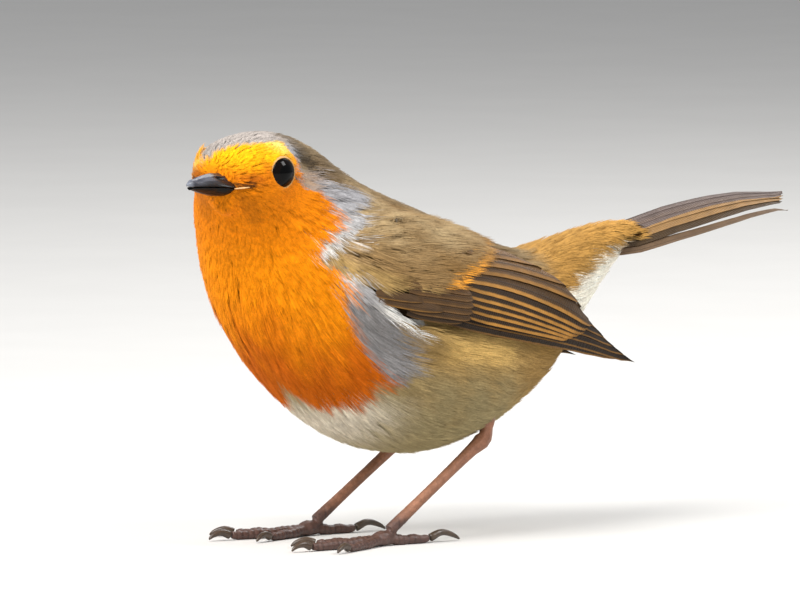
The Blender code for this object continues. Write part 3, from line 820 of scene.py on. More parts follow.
        points, normals, across = self.barbs(path, side, normal, half_width, thickness, count)
        shape = points.shape[:2]
        middle = path[:, 3][:, None] + rng.normal(0, 0.35, (*shape, 3)) * (0.4 + 0.6 * size)[:, None, None]
        middle = middle + side[:, 3][:, None] * (across * half_width[:, None] * 0.8)[..., None]
        tint = markings(middle.reshape(-1, 3), self.paints).reshape(*shape, 3)
        vary = (0.06 + 0.10 * size)[:, None, None]
        tint = tint * (1 + 0.06 * rng.uniform(-1, 1, (len(spots), 1, 1)))
        tint = tint * (1 + vary * rng.uniform(-1, 1, (*shape, 1)))
        # painted shade: each barb is darker towards its root, which lies under the feathers above, and a
        # little brighter at its point
        along = np.append(np.repeat(np.linspace(0.76, 1.0, self.RINGS), 3), 1.06)
        self.piece(name, points, normals, tint[:, :, None] * along[None, None, :, None], patches)


def scattered(made, rng):
    """Random places on a mesh, even over its area: points, normals and where they are on its map."""
    mesh = made.data
    mesh.calc_loop_triangles()
    corners = values_of(mesh.loop_triangles, "vertices", 3, np.int32)
    loops = values_of(mesh.loop_triangles, "loops", 3, np.int32)
    points = mesh_points(mesh)
    a, b, c = (points[corners[:, k]] for k in range(3))
    area = np.linalg.norm(np.cross(b - a, c - a), axis=1)
    chosen = rng.choice(len(corners), TRIED_ROOTS, p=area / area.sum())
    u, v = rng.random(TRIED_ROOTS), rng.random(TRIED_ROOTS)
    fold = u + v > 1
    u[fold], v[fold] = 1 - u[fold], 1 - v[fold]
    weights = np.column_stack((1 - u - v, u, v))[..., None]
    spots = (points[corners[chosen]] * weights).sum(1)
    normals = (mesh_normals(mesh)[corners[chosen]] * weights).sum(1)
    flat = values_of(mesh.uv_layers[COAT_MAP].data, "uv", 2, np.float32)
    return spots, unit(normals), (flat[loops[chosen]] * weights).sum(1)


def thinned(points, spacing):
    """Which points to keep so that there is about one to each cell of the spacing."""
    cells = np.floor(points / spacing[:, None]).astype(np.int64)
    keys = (cells[:, 0] + 4000) * 16000000 + (cells[:, 1] + 2000) * 4000 + cells[:, 2] + 2000
    keys = keys * 64 + np.clip(spacing * 20, 0, 63).astype(np.int64)
    return np.sort(np.unique(keys, return_index=True)[1])


def rooted(surface, spacing, rng):
    """Roots for feathers on a surface, closer together where the feathers are small."""
    spots, normals, patches = scattered(surface, rng)
    size = np.round(coarseness(spots) * 8) / 8
    cell = np.where(from_eyes(spots) < 5.4, 0.48, 0.52 + (spacing - 0.52) * size)
    keep = thinned(spots, cell)
    return spots[keep], normals[keep], patches[keep]


class Surface:
    """What stiff feathers are laid on by two coordinates; level() gives how far out it lies."""

    axis, sign = 2, 1.0

    def points(self, places, lift):
        """Points over the surface at places on it, raised along its normal."""
        slopes = [self.level(places + step) - self.level(places - step) for step in ((0.5, 0), (0, 0.5))]
        normal = np.insert(-np.column_stack(slopes), self.axis, self.sign, axis=1)
        place = np.insert(places, self.axis, self.sign * self.level(places), axis=1)
        return place + unit(normal) * np.asarray(lift)[:, None]


class Drape(Surface):
    """The outside of some solids, read from one side."""

    STEP = 0.5

    def __init__(self, parts, axis, sign, low, high):
        self.axis, self.sign, self.low = axis, sign, np.array(low, float)
        tree = search_tree(*parts)
        u = np.arange(low[0], high[0], self.STEP)
        v = np.arange(low[1], high[1], self.STEP)
        heights = np.full((len(u), len(v)), np.nan)
        away = np.zeros(3)
        away[axis] = -sign
        for i, a in enumerate(u):
            for j, b in enumerate(v):
                start = np.insert((a, b), axis, sign * 90.0)
                hit = tree.ray_cast(Vector(start), Vector(away))[0]
                if hit is not None:
                    heights[i, j] = abs(hit[axis])
        self.heights = self.filled(heights)

    @staticmethod
    def neighbours(heights):
        edged = np.pad(heights, 1, mode="edge")
        return np.stack((edged[2:, 1:-1], edged[:-2, 1:-1], edged[1:-1, 2:], edged[1:-1, :-2]))

    def filled(self, heights):
        """Drops the rounded rim, carries the surface on past it, closes narrow dips and smooths the whole."""
        rim = np.isnan(self.neighbours(heights)).any(0)
        heights = np.where(rim, np.nan, heights)
        for _ in range(90):
            around = self.neighbours(heights)
            known = ~np.isnan(around)
            mean = np.where(known, around, 0).sum(0) / np.maximum(known.sum(0), 1)
            heights = np.where(np.isnan(heights) & known.any(0), mean, heights)
        heights = np.nan_to_num(heights, nan=np.nanmean(heights))
        for _ in range(2):
            heights = np.maximum(heights, self.neighbours(heights).max(0))
        for _ in range(2):
            heights = np.minimum(heights, self.neighbours(heights).min(0))
        for _ in range(4):
            heights = 0.4 * heights + 0.6 * self.neighbours(heights).mean(0)
        return heights

    def level(self, places):
        at = np.clip((places - self.low) / self.STEP, 0.001, np.array(self.heights.shape) - 1.001)
        i, j = at.astype(int).T
        s, t = (at - np.floor(at)).T
        h = self.heights
        near, far = h[i, j] * (1 - s) + h[i + 1, j] * s, h[i, j + 1] * (1 - s) + h[i + 1, j + 1] * s
        return near * (1 - t) + far * t


class Vanes:
    """Stiff feathers, each a closed blade with a shaft, collected into one piece."""

    ACROSS = np.array((0.0, 0.13, 0.3, 0.62, 1.0))
    SHAFT = 0.3
    LENGTHWISE = 15
    MAP_LENGTH = 30.0

    def __init__(self, surface, outline=None):
        self.surface, self.outline = surface, outline
        self.points, self.quads, self.maps = [], [], []
        self.numbers = {"along": [], "edge_size": []}
        self.colours = {"ground": [], "edge": []}
        self.count = 0

    def add(self, edge, width, lift, tilt, ground, fringe, edge_size, blunt, up=1.0, thick=0.09):
        """A feather by its open edge (three places), its width towards the covered side, and its lift."""
        start, middle, end = (np.array(p, float) for p in edge)
        t = 1 - (1 - np.linspace(0, 1, self.LENGTHWISE)) ** 1.35
        bow = middle - (start + end) / 2
        line = start + np.outer(t, end - start) + np.outer(4 * t * (1 - t), bow)
        way = unit(np.gradient(line, axis=0))
        upward = np.column_stack((-way[:, 1], way[:, 0])) * up
        past = np.clip((t - blunt) / (1 - blunt), 0, 1)
        full = np.maximum(np.sqrt(1 - past**2.2), 0.02) * (0.55 + 0.45 * smoothstep(0, 0.15, t))
        shaft = line + upward * (self.SHAFT * width)
        a, t = self.ACROSS[None, :], t[:, None]
        flat = shaft[:, None] + upward[:, None] * ((a - self.SHAFT) * full[:, None] * width)[..., None]
        rise = lift + tilt * (1 - 2 * a) + 0 * t + 0.05 * (a == self.SHAFT) * (1 - t)
        deep = thick * (0.5 + 0.5 * np.sin(math.pi * (0.12 + 0.76 * a))) * (1 - 0.5 * t)
        places = flat.reshape(-1, 2)
        if self.outline is not None:
            places[:, 1] = np.minimum(places[:, 1], np.interp(places[:, 0], *self.outline.T))
        levels = (rise, rise - deep)
        self.points += [self.surface.points(places, level.ravel()) for level in levels]
        self.quads.append(self.blade_faces(*rise.shape) + self.count)
        length = np.linalg.norm(end - start)
        places = np.stack(np.broadcast_arrays(a, t * length / self.MAP_LENGTH), -1).reshape(-1, 2)
        self.maps += [places, places]
        size = 2 * len(places)
        self.numbers["along"].append(np.tile(np.repeat(t, a.size), 2))
        self.numbers["edge_size"].append(np.full(size, edge_size))
        for key, value in (("ground", ground), ("edge", fringe)):
            self.colours[key].append(np.tile(np.array(value, float), (size, 1)))
        self.count += size

    @staticmethod
    def blade_faces(rows, columns):
        """The faces of a blade from its upper and its lower grid of points."""
        total = rows * columns
        grid = np.arange(total).reshape(rows, columns)

        def side(i, j, flip):
            face = (i, j, j + total, i + total)
            return face[::-1] if flip else face

        faces = []
        for r in range(rows - 1):
            for c in range(columns - 1):
                i, j, k, m = grid[r, c], grid[r, c + 1], grid[r + 1, c + 1], grid[r + 1, c]
                faces += [(i, j, k, m), (i + total, m + total, k + total, j + total)]
            faces += [side(grid[r, c], grid[r + 1, c], c > 0) for c in (0, columns - 1)]
        for r in (0, rows - 1):
            faces += [side(grid[r, c], grid[r, c + 1], r == 0) for c in range(columns - 1)]
        return np.array(faces)

    def piece(self, name, slot, *replaced):
        made = mesh_from(name, np.concatenate(self.points), np.concatenate(self.quads), np.empty((0, 3), int))
        set_map(made.data, "vane", np.concatenate(self.maps))
        for key, values in self.colours.items():
            set_colours(made.data, key, np.concatenate(values))
        for key, values in self.numbers.items():
            set_numbers(made.data, key, np.concatenate(values))
        shaped = bmesh.new()
        shaped.from_mesh(made.data)
        bmesh.ops.recalc_face_normals(shaped, faces=shaped.faces)
        shaped.to_mesh(made.data)
        shaped.free()
        made.data.set_sharp_from_angle(angle=math.radians(50))
        return dressed(made, found_material("vane", vane_material), slot, *replaced)


def vane_material(name):
    """A stiff feather: dark centre, pale edge on the open side, fine slanting barbs and a dark shaft."""
    nodes = Nodes(name)
    split = nodes.add("SeparateXYZ", {"Vector": nodes.add("UVMap", uv_map="vane").outputs["UV"]})
    across, along = split.outputs["X"], split.outputs["Y"]
    where = nodes.place()
    wobble = nodes.times(nodes.math("SUBTRACT", nodes.noise(where, 900.0), 0.5), 0.05)
    from_edge = nodes.math("DIVIDE", nodes.math("ADD", across, wobble), nodes.attribute("edge_size", "Fac"))
    share = nodes.attribute("along", "Fac")
    whole = nodes.times(nodes.ranged(share, 0.0, 0.3, 0.45, 1.0), nodes.ranged(share, 1.0, 0.9, 0.45, 1.0))
    fringe = nodes.times(nodes.ranged(from_edge, 1.25, 0.7), whole)
    from_shaft = nodes.math("ABSOLUTE", nodes.math("SUBTRACT", across, Vanes.SHAFT))
    slant = nodes.math("ADD", nodes.times(along, 420.0), nodes.times(from_shaft, -34.0))
    barbs = nodes.math("SINE", nodes.math("ADD", slant, nodes.times(nodes.noise(where, 700.0), 9.0)))
    colour = nodes.mix(fringe, nodes.attribute("ground"), nodes.attribute("edge"))
    lines = nodes.mix(nodes.ranged(barbs, -1.0, 1.0), (0.94, 0.94, 0.94), (1.04, 1.04, 1.04))
    colour = nodes.darkened(1.0, colour, lines)
    colour = nodes.darkened(0.8, colour, nodes.ranged(nodes.noise(where, 420.0, 4.0), 0.3, 0.7, 0.8, 1.15))
    shaft = nodes.ranged(from_shaft, 0.035, 0.02)
    colour = nodes.mix(nodes.times(shaft, 0.7), colour, (0.03, 0.016, 0.008))
    nodes.set(Base_Color=colour, Roughness=nodes.ranged(barbs, -1.0, 1.0, 0.62, 0.5))
    nodes.set(Specular_IOR_Level=0.2, Sheen_Weight=0.03, Sheen_Roughness=0.5)
    nodes.bump(nodes.math("ADD", barbs, nodes.times(shaft, 2.0)), strength=0.5, distance=0.05)
    return nodes.material


# ---------------------------------------------------------------- what a user can change


def paint(label, description, *rgb):
    colour = {"default": linear(*rgb), "size": 3, "min": 0, "max": 1, "subtype": "COLOR"}
    return FloatVectorProperty(name=label, description=description, **colour)


def length(label, description, default, low, high, digits=4):
    """A length in millimetres."""
    sizes = {"default": default * MM, "min": low * MM, "max": high * MM, "precision": digits}
    return FloatProperty(name=label, description=description, subtype="DISTANCE", **sizes)


def number(label, description, default, **settings):
    return FloatProperty(name=label, description=description, default=default, **settings)


class RobinPaints(bpy.types.PropertyGroup):
    """The colours of the plumage, some of them darkened by painted shade"""

    breast: paint("Breast", "Upper breast", 241, 140, 2)
    # painted shade: the lower breast's colour is the breast's orange darkened by shade
    breast_shaded: paint("Lower breast", "Deeper orange low on the breast", 203, 98, 2)
    throat: paint("Throat", "Throat and chin", 230, 128, 2)
    face: paint("Face", "Forehead and cheeks", 255, 180, 4)
    brow: paint("Brow", "Pale patch above the eye", 255, 226, 120)
    lore: paint("Lore", "Dark patch between bill and eye", 150, 70, 10)
    gape: paint("Gape", "Dark bristly line behind the corner of the bill", 44, 26, 12)
    grey: paint("Neck side", "Blue-grey edge of the orange", 160, 158, 160)
    grey_light: paint("Shoulder", "Palest part of the grey edge", 214, 210, 205)
    grey_breast: paint("Breast side", "Grey of the breast's side", 144, 141, 140)
    ear: paint("Ear coverts", "Brown tinge behind the eye", 172, 134, 92)
    crown: paint("Crown", "Grey front of the crown", 168, 158, 150)
    nape: paint("Nape", "Back of the head", 100, 84, 62)
    mantle: paint("Mantle", "Back and shoulders", 178, 153, 112)
    mantle_dark: paint("Mantle shade", "Darker olive of the back", 140, 112, 72)
    shoulder: paint("Shoulder feathers", "Browner feathers over the wing", 138, 104, 58)
    rump: paint("Rump", "Rump", 178, 133, 66)
    coverts: paint("Tail coverts", "Upper tail coverts", 196, 146, 72)
    flank_light: paint("Under the wing", "Golden part of the flank", 222, 182, 108)
    flank: paint("Flank", "Buff flank", 166, 136, 84)
    # part the belly's own pale buff, part painted shade: darker than the real belly
    belly: paint("Belly", "Pale belly", 158, 142, 102)
    belly_front: paint("Belly under the orange", "Whitish edge below the orange", 226, 214, 192)
    # part the vent's own brown, part painted shade under the wing's rear end
    vent: paint("Vent", "Brown between legs and tail", 160, 122, 62)
    undertail: paint("Undertail", "White under the tail", 250, 242, 224)
    streak: paint("Wing bend", "White feathers under the wing's bend", 252, 248, 240)
    wing: paint("Wing", "Dark centres of the wing feathers", 72, 50, 25)
    wing_edge: paint("Wing edges", "Buff edges of the flight feathers", 172, 121, 52)
    wing_spot: paint("Covert tips", "Orange-buff tips of the inner great coverts", 246, 166, 56)
    tail: paint("Tail", "Tail feathers", 138, 105, 64)
    tail_edge: paint("Tail centre", "Grey-purple shade on the tail's ridge", 98, 84, 78)


class RobinCoat(bpy.types.PropertyGroup):
    """The size of the feathers"""

    face_length: length("Face feather", "Length of the shortest feathers", 2.0, 0.5, 10)
    body_length: length("Body feather", "Length of the longest feathers", 6.0, 1, 20)
    barb: length("Barb", "Thickness of a body feather's barbs", 0.115, 0.05, 1, 5)
    barbs: IntProperty(name="Barbs", description="Barbs in a body feather", default=16, min=4, max=24)
    spacing: length("Spacing", "Space between the roots of body feathers", 1.16, 0.5, 10, 5)
    seed: IntProperty(name="Seed", description="Which scatter of feathers is made", default=11, min=0)


class RobinStudio(bpy.types.PropertyGroup):
    """The view and the light"""

    azimuth: number("Azimuth", "Where the camera stands round the bird", math.radians(-35), subtype="ANGLE")
    elevation: number("Elevation", "How high the camera stands", math.radians(5), subtype="ANGLE")
    distance: number("Distance", "From the camera to the bird", 3.643, min=0.1, subtype="DISTANCE")
    lens: number("Lens", "Focal length in millimetres", 1000.0, min=10.0)
    floor: paint("Floor", "Floor and backdrop", 218, 216, 212)
    key: number("Key light", "Power of the main light", 9.0, min=0.0, unit="POWER")
    fill: number("Fill light", "Power of the fill and rim lights", 3.0, min=0.0, unit="POWER")


# ---------------------------------------------------------------- the pieces


class ROBIN_OT_skin(bpy.types.Operator):
    """Make one skin over the head, neck, trunk and rump, under the feathers by their depth"""

    bl_idname = "robin.skin"
    bl_label = "Skin"

    SWELL = 0.32  # the solids are swollen by this so that they meet

    def execute(self, context):
        shapes = [swollen(node_copy(name), self.SWELL) for name in FLESH]
        for middle, outward in eye_places():
            socket = middle - with_head(EYE_SHIFT) - outward * 0.55
            shapes.append(ball("eye_bulge", middle, (EYE_BALL,) * 3))
            shapes.append(ball("socket", socket, (EYE_BALL + 0.3,) * 3))
            shapes.append(hoop("eye_rim", radius=3.05, thickness=0.8))
            shapes[-1].data.transform(facing(outward, middle + outward * 1.65))
        shapes.append(ball("bill_root", bent(BILL_BASE)[0], (2.4, 2.95, 3.1)))
        shapes.append(ball("chin", bent(BILL_BASE + (1.0, 0, -2.9))[0], (2.3, 3.0, 3.1)))
        skin = remeshed(joined("skin", *shapes), voxel=0.55, smoothing=12)
        sunk(skin, self.SWELL)
        wings = [f"wing_{side}_{part}" for side in SIDES for part in ("coverts", "secondaries")]
        self.form("shoulders", (*FLESH, *wings), reach=1.8)
        self.form("stern", (*FLESH, "tail"), reach=1.2)
        set_colours(skin.data, "plumage", markings(mesh_points(skin.data), context.scene.robin_paints) * 0.92)
        dressed(skin, skin_material("down"), "plumage", *FLESH)
        return {"FINISHED"}

    @staticmethod
    def form(name, parts, reach):
        """A smooth surface over several solids at once, its grooves filled, for the coat to be laid on."""
        shape = joined(name, *(swollen(node_copy(part), reach) for part in parts))
        sunk(remeshed(shape, voxel=0.6, smoothing=14), reach)


def sunk(made, swell):
    """Brings a swollen shape back and lays it under the tips of the coat by the coat's depth."""
    points, normals = mesh_points(made.data), mesh_normals(made.data)
    place_points(made.data, points - normals * (swell + coat_depth(points))[:, None])
    apply_modifier(made, "SMOOTH", factor=0.5, iterations=3)
    unwrapped(made)


def coat_zone(points):
    """The name of the coat piece that each place belongs to."""
    straight, _ = straightened(points)
    x, y, z = straight.T
    names = np.full(len(points), "coat_flank_right", dtype=object)
    names[y < 0] = "coat_flank_left"
    names[z < 26] = "coat_belly_rear"
    names[(z < 26) & (x < -12)] = "coat_belly_front"
    names[z > np.interp(x, (-40, -20, 10, 45), (50, 45, 41, 42))] = "coat_back"
    names[(x > 5) & (z > 36)] = "coat_rump"
    front = x < np.interp(z, *ORANGE_EDGE.T)
    names[front & (z > 24) & (y < 0)] = "coat_breast_left"
    names[front & (z > 24) & (y >= 0)] = "coat_breast_right"
    names[front & (z > 46)] = "coat_throat"
    names[(z > 56) & (x < -38)] = "coat_face"
    names[(z > 56) & (x >= -38) & (x < -26)] = "coat_nape"
    return names


class ROBIN_OT_coat(bpy.types.Operator):
    """Cover the skin and the shoulders with small feathers that follow the lie of the coat"""

    bl_idname = "robin.coat"
    bl_label = "Coat"

    OVER_WINGS = ("coat_back", "coat_nape", "coat_breast_left", "coat_breast_right")
    COVERED = 0.45  # where the skin lies deeper than this under the shoulders, feathers grow on those

    def execute(self, context):
        coat = context.scene.robin_coat
        rng = np.random.default_rng(coat.seed)
        feathers = Feathers(rng, coat, context.scene.robin_paints)
        forms = {name: bpy.data.objects[name] for name in ("skin", "shoulders", "stern")}
        skin, shoulders, stern = (search_tree(form) for form in forms.values())

        spots, _, patches = rooted(forms["skin"], coat.spacing / MM, rng)
        x, _, z = spots.T
        cover = np.where((x < -36) & (z > 55), 0, self.gaps(spots, shoulders))
        free = (x > FLANK_FREE) & (z < np.interp(x, *WING_LOW.T) + 0.8)
        behind = (x > SHOULDER_END) & ~self.under_wings(spots)
        keep = ((cover < self.COVERED) & (x <= SHOULDER_END) | free | behind) & self.clear(spots)
        spots, patches = spots[keep], patches[keep]
        zones = coat_zone(spots)
        for name in sorted(set(zones)):
            here = zones == name
            tree = stern if name == "coat_rump" else shoulders if name in self.OVER_WINGS else skin
            if "flank" in name:
                forward = here & (spots[:, 0] < FLANK_FREE)
                feathers.cover(name.replace("flank", "side"), shoulders, spots[forward], patches[forward])
                here = here & ~forward
            feathers.cover(name, tree, spots[here], patches[here])

        spots, normals, patches = rooted(forms["shoulders"], coat.spacing / MM, rng)
        x, y, z = spots.T
        low = (x > FLANK_FREE) & (z < np.interp(x, *WING_LOW.T) + 2.0)
        keep = (self.gaps(spots, skin) >= self.COVERED) & (x < SHOULDER_END) & (np.abs(y) > 5)
        keep &= ~low & ~wing_shows(spots) & ((x > -36) | (z < 55))
        keep &= (np.abs(normals[:, 1]) > 0.05) | (normals[:, 2] > 0.3)
        for side, sign in SIDES.items():
            here = keep & (y * sign > 0)
            feathers.cover("coat_shoulder_" + side, shoulders, spots[here], patches[here])
        for name in ("shoulders", "stern"):
            bpy.data.objects.remove(forms[name])
        return {"FINISHED"}

    @staticmethod
    def gaps(spots, tree):
        return np.array([tree.find_nearest(p)[3] for p in spots.tolist()])

    @staticmethod
    def under_wings(spots):
        """Which places lie hidden under a folded wing."""
        wings = search_tree(*(node for side in SIDES for node in wing_nodes(side, "coverts", "secondaries")))
        ahead = spots + lie(spots) * 2.5
        hidden = []
        for p, q in zip(spots.tolist(), ahead.tolist()):
            out = Vector((0, math.copysign(1, p[1]), 0.15))
            starts = [Vector(spot) - out * 3 for spot in (p, q)]
            hidden.append(all(wings.ray_cast(start, out, 8.0)[0] is not None for start in starts))
        return np.array(hidden)

    @staticmethod
    def clear(spots):
        """Which places lie neither in the bill nor on the eyes."""
        bill = search_tree(*(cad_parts["bill_" + half] for half in ("upper", "lower")))
        keep = np.array([bill.find_nearest(p, 0.12)[0] is None for p in spots.tolist()])
        for eye in eye_places():
            ahead, _, _, distance = round_eye(spots, eye)
            keep &= ~((distance < EYE_SHOWS + 0.12) & (ahead > 0))
        straight, _ = straightened(spots)
        x, y, z = straight.T
        keep &= (from_line(straight, GAPE[:, (0, 2)]) > 0.32) | (np.abs(y) < 2.2) | (np.abs(y) > 5.3)
        return keep & (x > np.where(z < 58.5, -59.2, np.interp(z, (60.8, 61.8), (-56.4, -57.8))))


def eye_material(name):
    """A dark wet eye: black pupil, very dark brown iris, clear hard gloss."""
    nodes = Nodes(name)
    from_pupil = nodes.attribute("from_pupil", "Fac")
    streaks = nodes.noise(nodes.place(), scale=1800.0, detail=2.0)
    iris = nodes.mix(streaks, (0.003, 0.002, 0.0015), (0.006, 0.0035, 0.0025))
    colour = nodes.mix(nodes.ranged(from_pupil, 1.25, 1.45), (0.002, 0.002, 0.002), iris)
    colour = nodes.mix(nodes.ranged(from_pupil, 2.05, 2.35), colour, (0.003, 0.002, 0.002))
    nodes.set(Base_Color=colour, Roughness=0.08, Specular_IOR_Level=0.1)
    return nodes.material


def soft_skin(name, dark, pale):
    """Bare crinkled skin from a dark to a pale tone."""
    nodes = Nodes(name)
    grain = nodes.noise(nodes.place(), scale=2500.0)
    nodes.set(Base_Color=nodes.mix(grain, dark, pale), Roughness=0.6)
    nodes.bump(grain, strength=0.4, distance=0.06)
    return nodes.material


def lid_material(name):
    """The lid's edge."""
    return soft_skin(name, (0.42, 0.18, 0.04), (0.76, 0.44, 0.14))


def gape_material(name):
    """The pale skin at the corner of the bill."""
    return soft_skin(name, (0.40, 0.20, 0.06), (0.86, 0.56, 0.26))


class ROBIN_OT_eyes(bpy.types.Operator):
    """Make the eyes and the thin crinkled lids round them"""

    bl_idname = "robin.eyes"
    bl_label = "Eyes"

    LEVEL = math.sqrt(EYE_BALL**2 - EYE_SHOWS**2)  # how far ahead of the ball's middle the lids' edges lie

    def execute(self, context):
        for side, eye in zip(SIDES, eye_places()):
            self.eyeball(side, eye)
            self.lid(side, eye)
        return {"FINISHED"}

    def eyeball(self, side, eye):
        """A ball, drawn in behind the lid."""
        made = ball("eyeball_" + side, (0, 0, 0), (EYE_BALL,) * 3)
        points = mesh_points(made.data)
        points *= (1 - 0.3 * smoothstep(self.LEVEL - 0.1, self.LEVEL - 0.6, points[:, 2]))[:, None]
        place_points(made.data, points)
        made.data.transform(facing(eye[1], eye[0]))
        ahead, _, _, distance = round_eye(mesh_points(made.data), eye)
        set_numbers(made.data, "from_pupil", np.where(ahead > 0, distance, 3.0))
        dressed(made, found_material("eye_gloss", eye_material), "eye", "eye_" + side)

    def lid(self, side, eye):
        """A thin crinkled ring that slopes back from the ball."""
        made = hoop("lid_" + side, EYE_SHOWS, thickness=0.12)
        points = mesh_points(made.data)
        angle = np.arctan2(points[:, 1], points[:, 0])
        reach = np.hypot(points[:, 0], points[:, 1])
        crinkle = 1 + 0.10 * np.sin(26 * angle) + 0.06 * np.sin(11 * angle + 1)
        out = EYE_SHOWS + (reach - EYE_SHOWS) * 1.3 * crinkle + 0.08
        slope = 0.75 * (out - EYE_SHOWS) * (out > EYE_SHOWS)
        points[:, :2] *= (out / reach)[:, None]
        points[:, 2] = points[:, 2] * 0.9 * crinkle + self.LEVEL - slope + 0.03
        place_points(made.data, points)
        made.data.transform(facing(eye[1], eye[0]))
        made.data.shade_smooth()
        dressed(made, found_material("lid_skin", lid_material), "leg_skin")


def bill_material(name):
    """Dark horn with fine lines along it, glossier on the upper half."""
    nodes = Nodes(name)
    stretch = {"Vector": nodes.place(), "Rotation": (0, 0, math.radians(-25)), "Scale": (260, 1500, 1500)}
    lines = nodes.noise(nodes.add("Mapping", stretch).outputs["Vector"], scale=1.0)
    colour = nodes.darkened(0.7, nodes.attribute("tone"), nodes.ranged(lines, 0.3, 0.7, 0.6, 1.25))
    gloss, wax = (0.3, 0.12) if "upper" in name else (0.12, 0.05)
    nodes.set(Base_Color=colour, Roughness=nodes.ranged(lines, 0.3, 0.7, 0.32, 0.48))
    nodes.set(Specular_IOR_Level=gloss, Coat_Weight=wax, Coat_Roughness=0.25)
    nodes.bump(lines, strength=0.25, distance=0.05)
    return nodes.material


class ROBIN_OT_bill(bpy.types.Operator):
    """Make the two halves of the bill, with nostrils, cutting edges and the soft corners"""

    bl_idname = "robin.bill"
    bl_label = "Bill"

    def execute(self, context):
        for half, shape in (("upper", self.upper), ("lower", self.lower)):
            bill = remeshed(swollen(node_copy("bill_" + half), 0.03), voxel=0.13, smoothing=3)
            bill.name = bill.data.name = "horn_" + half
            points, tone = shape(unbent(mesh_points(bill.data)))
            place_points(bill.data, bent(points))
            set_colours(bill.data, "tone", tone)
            dressed(bill, found_material("horn_" + half, bill_material), "bill", "bill_" + half)
        for side, sign in SIDES.items():
            front, back = bent(GAPE * (1, sign, 1))
            turn = Vector(unit(back - front)).to_track_quat("X", "Z").to_matrix().to_4x4()
            corner = ball("gape_" + side, (front + back) / 2, (1.3, 0.34, 0.13), turn)
            dressed(corner, found_material("gape_skin", gape_material), "leg_skin")
        return {"FINISHED"}

    @staticmethod
    def upper(points):
        """The upper half with its ridge, nostrils, cutting edge and blunter tip, and its colours."""
        x, y, z = points.T.copy()
        side, flare = np.sign(y), smoothstep(-59.8, -56.6, x)
        pit = blot(x, z + 0.14 * (x + 58.3), (-58.3, 60.95), (1.0, 0.38))
        shelf = blot(x, z, (-58.2, 61.4), (1.3, 0.24))
        y -= side * (0.42 * pit - 0.12 * shelf) * smoothstep(0.2, 0.7, np.abs(y))
        ridge = smoothstep(0.9, 0.0, np.abs(y)) * smoothstep(59.8, 60.8, z)
        z += 0.14 * ridge * smoothstep(-65.5, -62.5, x)
        flat = smoothstep(59.8, 60.4, z) * smoothstep(62.0, 61.0, z) * smoothstep(0.3, 1.0, np.abs(y))
        y -= side * 0.16 * flat
        z -= 0.16 * smoothstep(-64.5, -66.3, x) + (0.15 + 0.12 * flare) * np.maximum(z - 59.6, 0)
        z += 0.4 * (z - 59.2) * smoothstep(-64.0, -66.0, x)
        y += 0.34 * y * flare * bell(z, 59.3, 0.9)
        # painted sheen: the sides and the part towards the tip are blended to a blue-grey sheen tone
        y, tone = horn_edge(x, y, z, 60.9, linear(80, 82, 96))
        tone = tone * (1 - 0.7 * smoothstep(-61.5, -58.5, x))[:, None]
        # painted sheen: paler blue-grey at the very tip
        tone = blended(tone, linear(165, 170, 182), 0.5 * smoothstep(-65.0, -66.4, x))
        # painted shade: the nostril's pit is painted near black
        return np.column_stack((x, y, z)), blended(tone, linear(6, 5, 4), np.clip(1.3 * pit, 0, 1))

    @staticmethod
    def lower(points):
        """The lower half, its root wide at the corners and drawn in inside the head, and its colours."""
        x, y, z = points.T.copy()
        flare, hidden = smoothstep(-59.8, -56.6, x), smoothstep(-56.6, -54.6, x)
        y -= np.sign(y) * 0.12 * smoothstep(58.9, 58.3, z) * smoothstep(0.3, 1.0, np.abs(y))
        z += (59.3 - z) * (0.06 + 0.1 * flare)
        z += (59.3 - z) * 0.6 * hidden
        y += 0.36 * y * flare
        y -= 0.45 * y * hidden
        y, tone = horn_edge(x, y, z, 58.4, linear(12, 11, 11))
        return np.column_stack((x, y, z)), tone * 0.3


def horn_edge(x, y, z, side_height, sheen):
    """Half a bill's cutting edge, and its colours: black edges, painted sheen on the sides, flesh at the
    corners.
    """
    edge = bell(z, np.interp(x, (-65.3, -60.7, -55.2), (59.35, 59.4, 59.2)), 0.28)
    y = y + np.sign(y) * 0.07 * edge * smoothstep(0.2, 0.6, np.abs(y))
    pale = np.clip(0.75 * bell(z, side_height, 0.7) + 0.3 * smoothstep(-61, -65, x), 0, 1)
    tone = blended(linear(15, 12, 10), sheen, pale * (1 - 0.5 * edge))
    return y, blended(tone, linear(108, 66, 48), 0.5 * smoothstep(-57.0, -56.0, x) * bell(z, 59.1, 0.5))


def leg_material(name):
    """Thin scaly skin over bone, paler on the shank than on the toes."""
    nodes = Nodes(name)
    where = nodes.place()
    voronoi = nodes.add("TexVoronoi", {"Vector": where, "Scale": 1500.0}, feature="DISTANCE_TO_EDGE")
    scales = voronoi.outputs["Distance"]
    grain = nodes.noise(where, scale=1100.0)
    colour = nodes.darkened(0.6, nodes.attribute("tone"), nodes.ranged(grain, 0.3, 0.7, 0.72, 1.2))
    colour = nodes.darkened(0.35, colour, nodes.ranged(scales, 0.0, 0.12, 0.55, 1.05))
    nodes.set(Base_Color=colour, Roughness=nodes.ranged(grain, 0.3, 0.7, 0.4, 0.58), Specular_IOR_Level=0.45)
    nodes.bump(scales, strength=0.35, distance=0.07)
    return nodes.material


def claw_material(name):
    """Dark horn with a little mottle."""
    nodes = Nodes(name)
    grain = nodes.noise(nodes.place(), scale=900.0)
    colour = nodes.mix(grain, (0.035, 0.022, 0.015), (0.10, 0.066, 0.042))
    nodes.set(Base_Color=colour, Roughness=0.33, Specular_IOR_Level=0.5)
    nodes.bump(grain, strength=0.2, distance=0.05)
    return nodes.material


